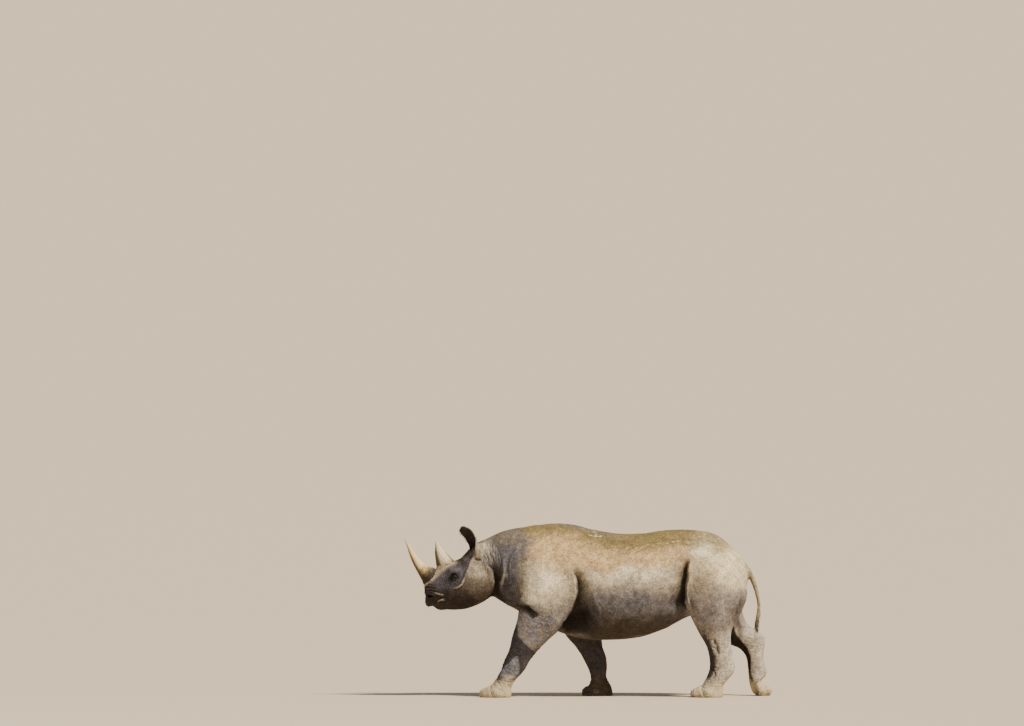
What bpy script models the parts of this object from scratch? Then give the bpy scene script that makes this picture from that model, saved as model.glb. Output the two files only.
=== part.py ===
"""A black rhinoceros in mid stride, as a still, life-size model.

The flesh is lofted from sections of the side outline, fused into one body and
then parted into head, neck, trunk, legs and feet. Horns, ears, eyes, tail and
nails are solids of their own that sit on it or in it.

Metres, +Z up. The head points along -X and the left side faces -Y. The origin
is on the ground, under the middle of the bounding box.
"""

import math

import bmesh
import bpy
from mathutils import Matrix, Vector
from mathutils.bvhtree import BVHTree

GAP = 0.0005  # clearance between solids that touch
VOXEL = 0.011  # grid on which the lofts are fused
SMOOTHINGS = 24  # passes that blend the fused shapes into each other
FLESH_TRIANGLES = 3200  # what the fused body is thinned to
CREASE = 40  # degrees between faces above which an edge is drawn sharp
LEFT, RIGHT = -1, 1  # signs of Y

# A loft's section runs from its upper or front outline point to its lower or
# back one, both as x, z, and then gives its half width and the y of its middle.

TRUNK = (
    (-0.585, 1.350, -0.650, 0.930, 0.160, 0),  # breast
    (-0.473, 1.556, -0.592, 0.762, 0.250, 0),  # front of the shoulders
    (-0.326, 1.604, -0.436, 0.662, 0.295, 0),  # withers
    (-0.160, 1.595, -0.234, 0.580, 0.325, 0),
    (0.033, 1.545, -0.022, 0.530, 0.365, 0),  # behind the shoulders
    (0.254, 1.505, 0.226, 0.522, 0.398, 0),  # dip of the back, deepest belly
    (0.484, 1.505, 0.484, 0.546, 0.408, 0),
    (0.686, 1.531, 0.705, 0.618, 0.388, 0),
    (0.870, 1.546, 0.907, 0.720, 0.348, 0),  # loins
    (1.054, 1.536, 1.091, 0.787, 0.318, 0),  # croup
    (1.202, 1.488, 1.257, 0.840, 0.285, 0),
    (1.321, 1.394, 1.386, 0.876, 0.235, 0),
    (1.418, 1.270, 1.459, 0.967, 0.165, 0),  # buttocks
    (1.462, 1.180, 1.482, 1.059, 0.080, 0),
)
NECK = (
    (-1.000, 1.425, -0.880, 0.960, 0.150, 0),
    (-0.924, 1.456, -0.841, 0.914, 0.165, 0),
    (-0.804, 1.514, -0.767, 0.878, 0.195, 0),
    (-0.666, 1.551, -0.684, 0.836, 0.235, 0),
    (-0.482, 1.588, -0.574, 0.760, 0.270, 0),
    (-0.326, 1.590, -0.436, 0.711, 0.270, 0),
)
HEAD = (
    (-1.500, 0.985, -1.466, 0.870, 0.050, 0),  # front of the lips
    (-1.503, 1.036, -1.425, 0.842, 0.082, 0),
    (-1.490, 1.078, -1.370, 0.817, 0.098, 0),  # nostrils
    (-1.452, 1.120, -1.300, 0.802, 0.110, 0),
    (-1.400, 1.160, -1.218, 0.796, 0.125, 0),  # between the horns
    (-1.338, 1.199, -1.144, 0.802, 0.146, 0),
    (-1.246, 1.240, -1.071, 0.821, 0.168, 0),  # eyes
    (-1.172, 1.267, -0.988, 0.855, 0.174, 0),
    (-1.117, 1.322, -0.914, 0.898, 0.166, 0),  # cheeks
    (-1.062, 1.386, -0.878, 0.955, 0.150, 0),
    (-0.997, 1.424, -0.868, 1.084, 0.120, 0),  # poll
)
# The legs: the left fore leg is set down ahead, the right one is upright under
# the chest, the left hind leg bears weight and the right one is pushing off.
LEG_FORE_LEFT = (
    (-0.530, 1.330, -0.200, 1.230, 0.070, -0.220),  # shoulder blade
    (-0.575, 1.180, -0.120, 1.090, 0.100, -0.240),
    (-0.615, 1.035, -0.096, 0.965, 0.118, -0.252),  # point of the shoulder
    (-0.640, 0.890, -0.114, 0.837, 0.122, -0.258),
    (-0.643, 0.775, -0.188, 0.727, 0.118, -0.254),
    (-0.664, 0.668, -0.258, 0.612, 0.112, -0.246),  # elbow
    (-0.694, 0.558, -0.362, 0.526, 0.104, -0.238),
    (-0.721, 0.438, -0.452, 0.431, 0.095, -0.230),
    (-0.767, 0.338, -0.532, 0.335, 0.086, -0.222),
    (-0.804, 0.241, -0.581, 0.244, 0.082, -0.216),  # wrist
    (-0.846, 0.160, -0.662, 0.162, 0.084, -0.212),
    (-0.900, 0.095, -0.698, 0.098, 0.098, -0.210),
    (-0.935, 0.030, -0.700, 0.020, 0.106, -0.210),
    (-0.935, -0.030, -0.702, -0.030, 0.106, -0.210),
)
LEG_FORE_RIGHT = (
    (-0.400, 1.320, -0.060, 1.240, 0.070, 0.220),
    (-0.370, 1.180, -0.010, 1.110, 0.100, 0.240),
    (-0.335, 1.010, 0.042, 0.975, 0.118, 0.252),
    (-0.305, 0.850, 0.090, 0.835, 0.120, 0.256),
    (-0.262, 0.690, 0.130, 0.690, 0.112, 0.246),
    (-0.205, 0.560, 0.134, 0.555, 0.102, 0.236),  # elbow
    (-0.118, 0.464, 0.144, 0.447, 0.093, 0.228),
    (-0.050, 0.367, 0.176, 0.364, 0.086, 0.220),
    (0.006, 0.256, 0.186, 0.263, 0.080, 0.214),  # wrist
    (0.036, 0.170, 0.178, 0.170, 0.076, 0.210),
    (0.024, 0.110, 0.214, 0.105, 0.090, 0.208),
    (0.006, 0.060, 0.232, 0.055, 0.104, 0.208),
    (0.000, 0.015, 0.240, 0.010, 0.108, 0.208),
    (0.000, -0.030, 0.240, -0.030, 0.108, 0.208),
)
LEG_HIND_LEFT = (
    (1.020, 1.360, 1.330, 1.260, 0.080, -0.205),  # hip
    (0.985, 1.210, 1.420, 1.110, 0.120, -0.222),
    (0.930, 1.060, 1.472, 0.990, 0.146, -0.232),  # thigh
    (0.905, 0.915, 1.458, 0.875, 0.154, -0.236),
    (0.926, 0.765, 1.396, 0.728, 0.142, -0.234),  # stifle
    (1.004, 0.612, 1.324, 0.606, 0.112, -0.226),
    (1.080, 0.490, 1.314, 0.499, 0.092, -0.218),
    (1.116, 0.370, 1.338, 0.360, 0.082, -0.212),
    (1.118, 0.274, 1.356, 0.252, 0.078, -0.208),  # hock
    (1.092, 0.186, 1.300, 0.176, 0.078, -0.205),
    (1.052, 0.112, 1.246, 0.112, 0.088, -0.204),
    (1.020, 0.055, 1.242, 0.050, 0.098, -0.204),
    (1.005, 0.015, 1.244, 0.010, 0.102, -0.204),
    (1.005, -0.030, 1.244, -0.030, 0.102, -0.204),
)
LEG_HIND_RIGHT = (
    (1.020, 1.360, 1.330, 1.260, 0.080, 0.205),
    (0.995, 1.210, 1.420, 1.110, 0.120, 0.222),
    (0.985, 1.050, 1.472, 1.000, 0.146, 0.232),
    (1.010, 0.850, 1.462, 0.905, 0.150, 0.234),  # thigh
    (1.085, 0.660, 1.440, 0.815, 0.134, 0.230),  # stifle
    (1.205, 0.538, 1.452, 0.738, 0.112, 0.222),
    (1.326, 0.468, 1.496, 0.658, 0.092, 0.214),
    (1.410, 0.432, 1.602, 0.596, 0.080, 0.208),
    (1.466, 0.362, 1.654, 0.524, 0.076, 0.204),  # hock
    (1.482, 0.290, 1.632, 0.420, 0.072, 0.202),
    (1.489, 0.215, 1.634, 0.325, 0.074, 0.200),
    (1.496, 0.140, 1.656, 0.236, 0.086, 0.198),  # heel, lifted
    (1.506, 0.085, 1.600, 0.140, 0.084, 0.198),
    (1.535, 0.038, 1.612, 0.098, 0.082, 0.198),  # toes, trailing
)
# Bellies of muscle and bone ends: centre x, y, z, radii, and the pitch in
# degrees that turns the long axis nose up. Those off the middle are paired.
LUMPS = {
    "lip_upper": ((-1.456, 0, 0.888), (0.040, 0.062, 0.074), 10),
    "lip_lower": ((-1.345, 0, 0.836), (0.066, 0.064, 0.046), -4),
    "jaw": ((-1.150, 0, 0.875), (0.150, 0.105, 0.070), -14),
    "nostril_rim": ((-1.462, 0.066, 0.978), (0.044, 0.030, 0.040), 0),
    "horn_boss_front": ((-1.440, 0, 1.092), (0.088, 0.084, 0.056), 40),
    "horn_boss_rear": ((-1.300, 0, 1.172), (0.104, 0.088, 0.050), 26),
    "brow": ((-1.220, 0.116, 1.140), (0.085, 0.036, 0.034), 28),
    "cheekbone": ((-1.150, 0.134, 1.046), (0.120, 0.040, 0.050), 25),
    "masseter": ((-0.985, 0.112, 1.060), (0.118, 0.066, 0.160), 0),
    "ear_root": ((-1.022, 0.092, 1.350), (0.056, 0.052, 0.060), 0),
    "shoulder": ((-0.390, 0.190, 1.120), (0.190, 0.135, 0.260), 0),
    "hip_bone": ((0.960, 0.200, 1.300), (0.170, 0.105, 0.100), -10),
    "rump": ((1.160, 0.140, 1.230), (0.220, 0.150, 0.150), -30),
}
# Each planted foot: x of the toe tip and of the heel, and y of its middle.
FEET = {
    "fore_left": (-0.997, -0.694, -0.210),
    "fore_right": (-0.052, 0.248, 0.208),
    "hind_left": (0.940, 1.244, -0.204),
}
# Toes of a planted foot, as shares of its length: how far back the toe's
# middle lies, how far out, its radii along and across, its height, and the
# angle that its nail faces away from straight ahead.
TOES = {
    "middle": (0.200, 0.000, 0.200, 0.235, 0.185, 0),
    "outer": (0.500, 0.265, 0.250, 0.150, 0.170, 62),
    "inner": (0.480, -0.250, 0.240, 0.150, 0.170, -62),
}
NAIL_RADII = (0.030, 0.044, 0.040)  # depth, half width and height of a nail
NAIL_INSET = 0.028  # how far a nail's middle lies behind the front of its toe
TRAILING_NAIL_INSET = 0.020
TRAILING_FOOT = (1.600, 0.198)  # x and y of the toes of the foot pushing off
TRAILING_PITCH = -22  # its toes point back and down
TRAILING_HEEL = ((1.598, 0.198, 0.214), (0.066, 0.080, 0.062), 20)  # its lifted pad
TAIL = (  # centre x, z and radius, from inside the rump to the tip
    (1.290, 1.330, 0.036),
    (1.375, 1.288, 0.040),
    (1.448, 1.205, 0.035),
    (1.518, 1.083, 0.028),
    (1.561, 0.952, 0.023),
    (1.580, 0.835, 0.020),
    (1.568, 0.740, 0.021),
    (1.558, 0.665, 0.019),
    (1.560, 0.598, 0.006),
)
HORN_FRONT = (
    (-1.500, 1.030, -1.372, 1.146, 0.084, 0),  # rooted in the nose
    (-1.528, 1.078, -1.412, 1.184, 0.078, 0),
    (-1.556, 1.128, -1.476, 1.206, 0.059, 0),
    (-1.600, 1.210, -1.528, 1.245, 0.040, 0),
    (-1.636, 1.297, -1.582, 1.310, 0.027, 0),
    (-1.667, 1.395, -1.640, 1.398, 0.013, 0),
    (-1.692, 1.464, -1.686, 1.464, 0.003, 0),
)
HORN_REAR = (
    (-1.372, 1.140, -1.205, 1.215, 0.080, 0),
    (-1.388, 1.190, -1.232, 1.252, 0.072, 0),
    (-1.398, 1.255, -1.278, 1.303, 0.055, 0),
    (-1.404, 1.322, -1.328, 1.352, 0.036, 0),
    (-1.402, 1.388, -1.364, 1.400, 0.018, 0),
    (-1.396, 1.435, -1.390, 1.437, 0.003, 0),
)
# The ear, a rolled leaf: its middle line as x, y, z, the roll's radius, and
# half the angle that the leaf wraps round.
EAR = (
    (-1.020, 0.098, 1.315, 0.034, 160),
    (-1.034, 0.104, 1.358, 0.037, 140),
    (-1.040, 0.112, 1.412, 0.043, 112),
    (-1.064, 0.122, 1.458, 0.052, 84),
    (-1.102, 0.132, 1.494, 0.062, 60),
    (-1.140, 0.138, 1.514, 0.066, 42),
    (-1.164, 0.140, 1.522, 0.066, 20),
)
EAR_OPENS = Vector((-0.55, 0.78, -0.30))  # way the ear's hollow faces
EAR_THICK = 0.009
EYE = (-1.221, 1.092, 0.024)  # x, z and radius of the eyeball
EYE_DEPTH = 0.013  # how far its middle lies under the side of the head

HEAD_CUT = ((-0.955, 1.300), (-0.862, 0.955))  # two points of the cut behind it
NECK_CUT = ((-0.520, 1.560), (-0.700, 0.840))
# The corners in the side view of the block that each leg is parted from the
# body by, and how far from the middle its inner plane starts and leans out.
LEG_OUTLINES = {
    "fore_left": (
        (-0.675, 0.86), (-0.640, 1.02), (-0.570, 1.20), (-0.440, 1.31), (-0.250, 1.29),
        (-0.110, 1.14), (-0.060, 0.95), (-0.110, 0.78), (-0.200, 0.64), (-0.240, 0.50),
        (-0.600, -0.10), (-1.080, -0.10), (-1.080, 0.22), (-0.800, 0.50), (-0.720, 0.70),
    ),
    "fore_right": (
        (-0.500, 0.90), (-0.550, 1.18), (-0.430, 1.31), (-0.220, 1.29), (-0.040, 1.14),
        (0.080, 0.95), (0.160, 0.78), (0.180, 0.62), (0.240, 0.46), (0.300, 0.10),
        (0.300, -0.10), (-0.140, -0.10), (-0.140, 0.08), (-0.060, 0.22), (-0.160, 0.42),
        (-0.300, 0.56), (-0.380, 0.72),
    ),
    "hind_left": (
        (0.870, 0.76), (0.885, 0.90), (0.900, 1.10), (0.950, 1.26), (1.050, 1.34),
        (1.310, 1.32), (1.430, 1.10), (1.530, 0.95), (1.530, 0.80), (1.400, 0.55),
        (1.420, 0.25), (1.350, -0.10), (0.860, -0.10), (0.860, 0.15), (1.000, 0.45),
        (0.880, 0.66),
    ),
    "hind_right": (
        (0.940, 0.85), (0.930, 1.05), (0.960, 1.24), (1.050, 1.34), (1.310, 1.32),
        (1.430, 1.10), (1.530, 0.95), (1.530, 0.80), (1.600, 0.68), (1.780, 0.60),
        (1.780, -0.10), (1.430, -0.10), (1.420, 0.36), (1.120, 0.48), (1.000, 0.66),
    ),
}
LEG_PLANES = {"fore": (0.070, 0.080), "hind": (0.040, 0.070)}
ANKLE_CUTS = {  # x and z of each leg's cut, and its tilt nose down in degrees
    "fore_left": (-0.760, 0.150, 0),
    "fore_right": (0.110, 0.140, 0),
    "hind_left": (1.160, 0.140, 0),
    "hind_right": (1.560, 0.215, 30),
}
# colour and roughness of each kind of surface
SKIN = ("skin", (0.30, 0.26, 0.21), 0.85)
KERATIN = ("horn", (0.42, 0.36, 0.26), 0.60)
NAIL = ("nail", (0.46, 0.41, 0.33), 0.65)
EYEBALL = ("eye", (0.02, 0.013, 0.01), 0.10)


def finish_of(kind):
    """The material of one kind of surface, made the first time it is needed."""
    name, colour, roughness = kind
    made = bpy.data.materials.get(name)
    if made is None:
        made = bpy.data.materials.new(name)
        made.use_nodes = True
        shader = made.node_tree.nodes["Principled BSDF"]
        shader.inputs["Base Color"].default_value = (*colour, 1)
        shader.inputs["Roughness"].default_value = roughness
        shader.inputs["Metallic"].default_value = 0
    return made


def add(name, mesh, kind=SKIN):
    """Puts a mesh in the scene as one named object."""
    made = bpy.data.objects.new(name, mesh)
    mesh.materials.clear()
    mesh.materials.append(finish_of(kind))
    mesh.shade_smooth()
    mesh.set_sharp_from_angle(angle=math.radians(CREASE))
    bpy.context.scene.collection.objects.link(made)
    return made


def mesh_of(bm):
    """A mesh from closed bmesh shells, with every face turned outwards."""
    bmesh.ops.recalc_face_normals(bm, faces=bm.faces)
    mesh = bpy.data.meshes.new("shape")
    bm.to_mesh(mesh)
    bm.free()
    return mesh


def smooth_rows(rows, steps):
    """The rows with steps more between each two, on a smooth curve (Catmull-Rom)."""
    first = [2 * a - b for a, b in zip(rows[0], rows[1])]
    last = [2 * a - b for a, b in zip(rows[-1], rows[-2])]
    held = [first, *rows, last]
    made = []
    for i in range(1, len(held) - 2):
        for step in range(steps):
            t = step / steps
            made.append(
                [
                    (2 * b + (c - a) * t + (2 * a - 5 * b + 4 * c - d) * t**2
                     + (3 * b - a - 3 * c + d) * t**3) / 2
                    for a, b, c, d in zip(*held[i - 1 : i + 3])
                ]
            )
    return [*made, list(rows[-1])]


def loft(rows, sides=64, steps=8, square=2.0, pear=0.0, grow=0.0):
    """A closed tube through the sections. square over 2 fills its corners, pear
    widens its lower side, and grow thickens it everywhere."""
    rows = smooth_rows(rows, steps)
    bm = bmesh.new()
    rings = []
    for i, (ax, az, bx, bz, half, y) in enumerate(rows):
        front, back = Vector((ax, 0, az)), Vector((bx, 0, bz))
        middle, reach = (front + back) / 2, (front - back) / 2
        out = reach.normalized() * grow
        if grow and i in (0, len(rows) - 1):
            away = reach.cross(Vector((0, 1, 0))).normalized()
            inner = rows[1] if i == 0 else rows[-2]
            inward = Vector(((inner[0] + inner[2]) / 2, 0, (inner[1] + inner[3]) / 2)) - middle
            middle = middle - away * math.copysign(grow, away.dot(inward))
        ring = []
        for k in range(sides):
            angle = 2 * math.pi * k / sides
            along, across = (
                math.copysign(abs(v) ** (2 / square), v)
                for v in (math.cos(angle), math.sin(angle))
            )
            wide = (half + grow) * across * (1 - pear * along)
            ring.append(bm.verts.new(middle + (reach + out) * along + Vector((0, y + wide, 0))))
        rings.append(ring)
    for one, two in zip(rings, rings[1:]):
        for k in range(sides):
            j = (k + 1) % sides
            bm.faces.new((one[k], one[j], two[j], two[k]))
    bm.faces.new(rings[0])
    bm.faces.new(rings[-1])
    return mesh_of(bm)


def ellipsoid(centre, radii, pitch=0, yaw=0, grow=0.0, segments=48):
    """A stretched ball. Pitch lifts its -X end, and yaw turns it about Z."""
    bm = bmesh.new()
    bmesh.ops.create_uvsphere(bm, u_segments=segments, v_segments=segments // 2, radius=1)
    scaled = Matrix.Diagonal(Vector([r + grow for r in radii])).to_4x4()
    turned = Matrix.Rotation(math.radians(yaw), 4, "Z") @ Matrix.Rotation(math.radians(pitch), 4, "Y")
    bmesh.ops.transform(bm, matrix=Matrix.Translation(centre) @ turned @ scaled, verts=bm.verts)
    return mesh_of(bm)


def joined(meshes):
    """One mesh that holds all of these, as separate shells."""
    bm = bmesh.new()
    for mesh in meshes:
        bm.from_mesh(mesh)
    made = bpy.data.meshes.new("shells")
    bm.to_mesh(made)
    bm.free()
    return made


def changed(mesh, kind, **settings):
    """The mesh that one modifier makes of this one."""
    carrier = bpy.data.objects.new("carrier", mesh)
    bpy.context.scene.collection.objects.link(carrier)
    modifier = carrier.modifiers.new("change", kind)
    for setting, value in settings.items():
        setattr(modifier, setting, value)
    bpy.context.view_layer.update()
    graph = bpy.context.evaluated_depsgraph_get()
    made = bpy.data.meshes.new_from_object(carrier.evaluated_get(graph))
    bpy.data.objects.remove(carrier)
    return made


def boolean(mesh, tool, operation):
    """The mesh joined with, cut by or kept within another closed mesh."""
    cutter = bpy.data.objects.new("cutter", tool)
    bpy.context.scene.collection.objects.link(cutter)
    made = changed(mesh, "BOOLEAN", object=cutter, operation=operation, solver="EXACT")
    bpy.data.objects.remove(cutter)
    return made


def side_of(mesh, point, normal):
    """What lies on the plane's far side from its normal, closed with a flat face."""
    bm = bmesh.new()
    bm.from_mesh(mesh)
    cut = bmesh.ops.bisect_plane(
        bm, geom=bm.verts[:] + bm.edges[:] + bm.faces[:], plane_co=point, plane_no=normal, clear_outer=True
    )
    rim = [e for e in cut["geom_cut"] if isinstance(e, bmesh.types.BMEdge)]
    caps = bmesh.ops.holes_fill(bm, edges=rim)["faces"]
    bmesh.ops.triangulate(bm, faces=caps)
    return mesh_of(bm)


def parted(mesh, point, normal):
    """The two sides of a mesh cut through by a plane, with a thin gap between."""
    point, normal = Vector(point), Vector(normal).normalized()
    return side_of(mesh, point, normal), side_of(mesh, point + normal * GAP, -normal)


def swollen(mesh, by):
    """A copy with every point moved out along its normal."""
    made = mesh.copy()
    for vertex in made.vertices:
        vertex.co = vertex.co + vertex.normal * by
    return made


def toe_frames(foot):
    """Each toe of a planted foot: name, centre, radii and the way its nail faces."""
    tip, heel, y = FEET[foot]
    length = heel - tip
    outward = math.copysign(1, y)
    for name, (back, out, along, across, high, faces) in TOES.items():
        centre = Vector((tip + back * length, y + outward * out * length, 0.018))
        radii = (along * length, across * length, high * length)
        yield name, centre, radii, -faces * outward


def trailing_toes():
    """The same for the foot that is pushing off, whose toes point back."""
    x, y = TRAILING_FOOT
    for name, back, out, reach, faces in (
        ("middle", 0.0, 0.0, 0.098, 180),
        ("outer", -0.020, 0.040, 0.080, 222),
        ("inner", -0.020, -0.040, 0.080, 138),
    ):
        yield name, Vector((x + back, y + out, 0.044)), (reach, 0.048, 0.044), faces


def flesh():
    """The whole body without tail, ears, horns and eyes, fused and thinned."""
    shells = [
        loft(TRUNK, square=2.15, pear=0.10),
        loft(NECK, square=2.2),
        loft(HEAD, square=2.35, pear=0.04),
    ]
    for leg in (LEG_FORE_LEFT, LEG_FORE_RIGHT, LEG_HIND_LEFT, LEG_HIND_RIGHT):
        shells.append(loft(leg, square=2.15))
    for (x, y, z), radii, pitch in LUMPS.values():
        for side in (LEFT, RIGHT) if y else (RIGHT,):
            shells.append(ellipsoid((x, side * y, z), radii, pitch))
    for foot in FEET:
        for _, centre, radii, _ in toe_frames(foot):
            shells.append(ellipsoid(centre, radii))
    for _, centre, radii, faces in trailing_toes():
        shells.append(ellipsoid(centre, radii, TRAILING_PITCH, faces))
    shells.append(ellipsoid(*TRAILING_HEEL))
    body = changed(joined(shells), "REMESH", mode="VOXEL", voxel_size=VOXEL)
    body = changed(body, "SMOOTH", factor=0.5, iterations=SMOOTHINGS)
    share = FLESH_TRIANGLES / (2 * len(body.polygons))
    body = changed(body, "DECIMATE", ratio=share, use_collapse_triangulate=True)
    return side_of(body, (0, 0, 0), (0, 0, -1))


def leg_block(name):
    """The block of space that a leg fills: its corners in the side view drawn
    out sideways from a plane that leans away from the middle of the body."""
    side = LEFT if name.endswith("left") else RIGHT
    start, lean = LEG_PLANES[name.split("_")[0]]
    bm = bmesh.new()
    rims = [
        [bm.verts.new((x, side * (out or start + lean * z), z)) for x, z in LEG_OUTLINES[name]]
        for out in (0, 0.6)
    ]
    for rim in rims:
        bm.faces.new(rim)
    for i in range(len(rims[0])):
        bm.faces.new((rims[0][i - 1], rims[0][i], rims[1][i], rims[1][i - 1]))
    bmesh.ops.triangulate(bm, faces=bm.faces)
    return mesh_of(bm)


def part_legs(body):
    """Takes each leg out of the body, then parts its foot from it."""
    legs, feet = {}, {}
    for name, (x, z, tilt) in ANKLE_CUTS.items():
        block = leg_block(name)
        leg = boolean(body, block, "INTERSECT")
        body = boolean(body, swollen(block, GAP), "DIFFERENCE")
        normal = Matrix.Rotation(math.radians(tilt), 3, "Y") @ Vector((0, 0, -1))
        legs[name], feet[name] = parted(leg, (x, 0, z), normal)
    return body, legs, feet


def cut_plane(points):
    """The plane square to the side view through two x, z points: point, normal."""
    (ax, az), (bx, bz) = points
    along = Vector((ax - bx, 0, az - bz))
    return Vector((ax, 0, az)), Vector((0, 1, 0)).cross(along)


def side_surface(mesh, x, z, side):
    """How far out the mesh reaches at x, z on one side."""
    bm = bmesh.new()
    bm.from_mesh(mesh)
    tree = BVHTree.FromBMesh(bm)
    bm.free()
    return tree.ray_cast(Vector((x, side * 2, z)), Vector((0, -side, 0)))[0].y


def tail_mesh(grow=0.0):
    """The tail as a loft round its middle line."""
    rows = []
    for i, (x, z, radius) in enumerate(TAIL):
        before, after = TAIL[max(i - 1, 0)], TAIL[min(i + 1, len(TAIL) - 1)]
        along = Vector((after[0] - before[0], 0, after[1] - before[1])).normalized()
        out = Vector((along.z, 0, -along.x)) * radius
        rows.append((x - out.x, z - out.z, x + out.x, z + out.z, radius, 0))
    return loft(rows, sides=8, steps=2, grow=grow)


def ear_mesh(side):
    """The ear: a leaf of even thickness, rolled into a tube at its root."""
    turns = 6
    line = [Vector((x, side * y, z)) for x, y, z, _, _ in EAR]
    opens = Vector((EAR_OPENS.x, side * EAR_OPENS.y, EAR_OPENS.z))
    bm = bmesh.new()
    layers = []
    for shell in (0, EAR_THICK):
        rings = []
        for i, (_, _, _, radius, wrap) in enumerate(EAR):
            along = (line[min(i + 1, len(line) - 1)] - line[max(i - 1, 0)]).normalized()
            forward = (opens - along * opens.dot(along)).normalized()
            aside = along.cross(forward)
            ring = []
            for k in range(turns + 1):
                angle = math.radians(wrap) * (2 * k / turns - 1)
                way = aside * math.sin(angle) - forward * math.cos(angle)
                centre = line[i] + forward * (radius * 0.45)
                ring.append(bm.verts.new(centre + way * (radius - shell)))
            rings.append(ring)
        layers.append(rings)
    outer, inner = layers
    for rings in layers:
        for one, two in zip(rings, rings[1:]):
            for k in range(turns):
                bm.faces.new((one[k], one[k + 1], two[k + 1], two[k]))
    for i in range(len(EAR) - 1):
        for k in (0, turns):
            bm.faces.new((outer[i][k], outer[i + 1][k], inner[i + 1][k], inner[i][k]))
    for i in (0, -1):
        for k in range(turns):
            bm.faces.new((outer[i][k], outer[i][k + 1], inner[i][k + 1], inner[i][k]))
    return mesh_of(bm)


def nail_mesh(centre, radii, faces, grow, trailing=False):
    """One nail: a rounded plate let into the front of its toe, cut off just above
    the ground."""
    pitch = TRAILING_PITCH if trailing else 0
    heading = Matrix.Rotation(math.radians(faces), 3, "Z") @ Vector((-1, 0, 0))
    reach = radii[0] if trailing or abs(faces) < 1 else radii[1]
    inset = TRAILING_NAIL_INSET if trailing else NAIL_INSET
    place = centre + heading * (reach - inset)
    place.z = 0.028 if trailing else 0.030
    plate = ellipsoid(place, NAIL_RADII, pitch, faces, grow, segments=10)
    return side_of(plate, (0, 0, 0.002 - grow), (0, 0, -1))


def add_nails(feet):
    """Lets three nails into each foot."""
    for foot in feet:
        trailing = foot == "hind_right"
        toes = trailing_toes() if trailing else toe_frames(foot)
        for toe, centre, radii, faces in toes:
            feet[foot] = boolean(
                feet[foot], nail_mesh(centre, radii, faces, GAP, trailing), "DIFFERENCE"
            )
            add(f"nail_{foot}_{toe}", nail_mesh(centre, radii, faces, 0, trailing), NAIL)


def build():
    """Makes every solid, then centres the animal over the origin."""
    body, legs, feet = part_legs(flesh())
    head, rest = parted(body, *cut_plane(HEAD_CUT))
    neck, trunk = parted(rest, *cut_plane(NECK_CUT))

    clear = swollen(head, GAP)
    for name, rows in (("horn_front", HORN_FRONT), ("horn_rear", HORN_REAR)):
        add(name, boolean(loft(rows, sides=12, steps=2), clear, "DIFFERENCE"), KERATIN)
    for side, name in ((LEFT, "left"), (RIGHT, "right")):
        add(f"ear_{name}", boolean(ear_mesh(side), clear, "DIFFERENCE"))
    x, z, radius = EYE
    for side, name in ((LEFT, "left"), (RIGHT, "right")):
        centre = Vector((x, side_surface(head, x, z, side) - side * EYE_DEPTH, z))
        socket = ellipsoid(centre, [radius] * 3, grow=GAP, segments=12)
        head = boolean(head, socket, "DIFFERENCE")
        add(f"eye_{name}", ellipsoid(centre, [radius] * 3, segments=12), EYEBALL)

    trunk = boolean(trunk, tail_mesh(GAP), "DIFFERENCE")
    add("tail", tail_mesh())
    add_nails(feet)
    for name in legs:
        add(f"leg_{name}", legs[name])
        add(f"foot_{name}", feet[name])
    for name, mesh in (("head", head), ("neck", neck), ("trunk", trunk)):
        add(name, mesh)
    centre_over_origin()


def centre_over_origin():
    """Moves everything so that the origin is under the middle of the whole."""
    solids = list(bpy.context.scene.collection.objects)
    points = [v.co for solid in solids for v in solid.data.vertices]
    low = Vector([min(p[i] for p in points) for i in range(3)])
    high = Vector([max(p[i] for p in points) for i in range(3)])
    shift = Vector((-(low.x + high.x) / 2, -(low.y + high.y) / 2, -low.z))
    for solid in solids:
        solid.data.transform(Matrix.Translation(shift))


for old in list(bpy.data.objects):
    bpy.data.objects.remove(old)
build()
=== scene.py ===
import math

import bmesh
import bpy
import numpy as np
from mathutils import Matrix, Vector
from mathutils.bvhtree import BVHTree


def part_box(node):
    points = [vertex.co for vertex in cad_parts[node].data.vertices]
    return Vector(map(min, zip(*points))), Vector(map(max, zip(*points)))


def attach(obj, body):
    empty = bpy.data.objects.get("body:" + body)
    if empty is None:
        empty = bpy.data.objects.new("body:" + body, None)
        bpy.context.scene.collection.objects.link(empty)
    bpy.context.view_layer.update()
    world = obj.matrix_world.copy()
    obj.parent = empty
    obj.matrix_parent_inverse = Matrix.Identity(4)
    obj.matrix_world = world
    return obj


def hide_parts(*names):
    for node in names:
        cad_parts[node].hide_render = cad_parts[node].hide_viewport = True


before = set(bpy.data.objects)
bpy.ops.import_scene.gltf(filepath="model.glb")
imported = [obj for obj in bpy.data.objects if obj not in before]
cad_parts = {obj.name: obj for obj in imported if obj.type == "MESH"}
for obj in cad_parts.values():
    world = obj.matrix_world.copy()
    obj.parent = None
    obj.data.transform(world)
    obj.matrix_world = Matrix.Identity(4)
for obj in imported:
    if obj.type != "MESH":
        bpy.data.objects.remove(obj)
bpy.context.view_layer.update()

# ---- Skin ----
# One hide over the whole animal: bare, thick and grey, closed over head, body,
# legs, ears and tail. It follows the solid parts of flesh and adds the folds,
# lids and wrinkles that they leave out. Living skin, so nothing fixes it.

GRID = 0.007  # spacing of the skin's points on the trunk
SMOOTHINGS = 110  # how often the joined parts of flesh are smoothed
BOTH = LEFT, RIGHT = (-1, 1)  # the sides of the animal, as signs of Y
LEGS = ("fore_left", "fore_right", "hind_left", "hind_right")
FLESH = ["head", "neck", "trunk", "tail"]
FLESH += [f"{part}_{leg}" for part in ("leg", "foot") for leg in LEGS]


def middle(node):
    """The middle of a solid part's box."""
    low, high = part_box(node)
    return (low + high) / 2


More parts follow.
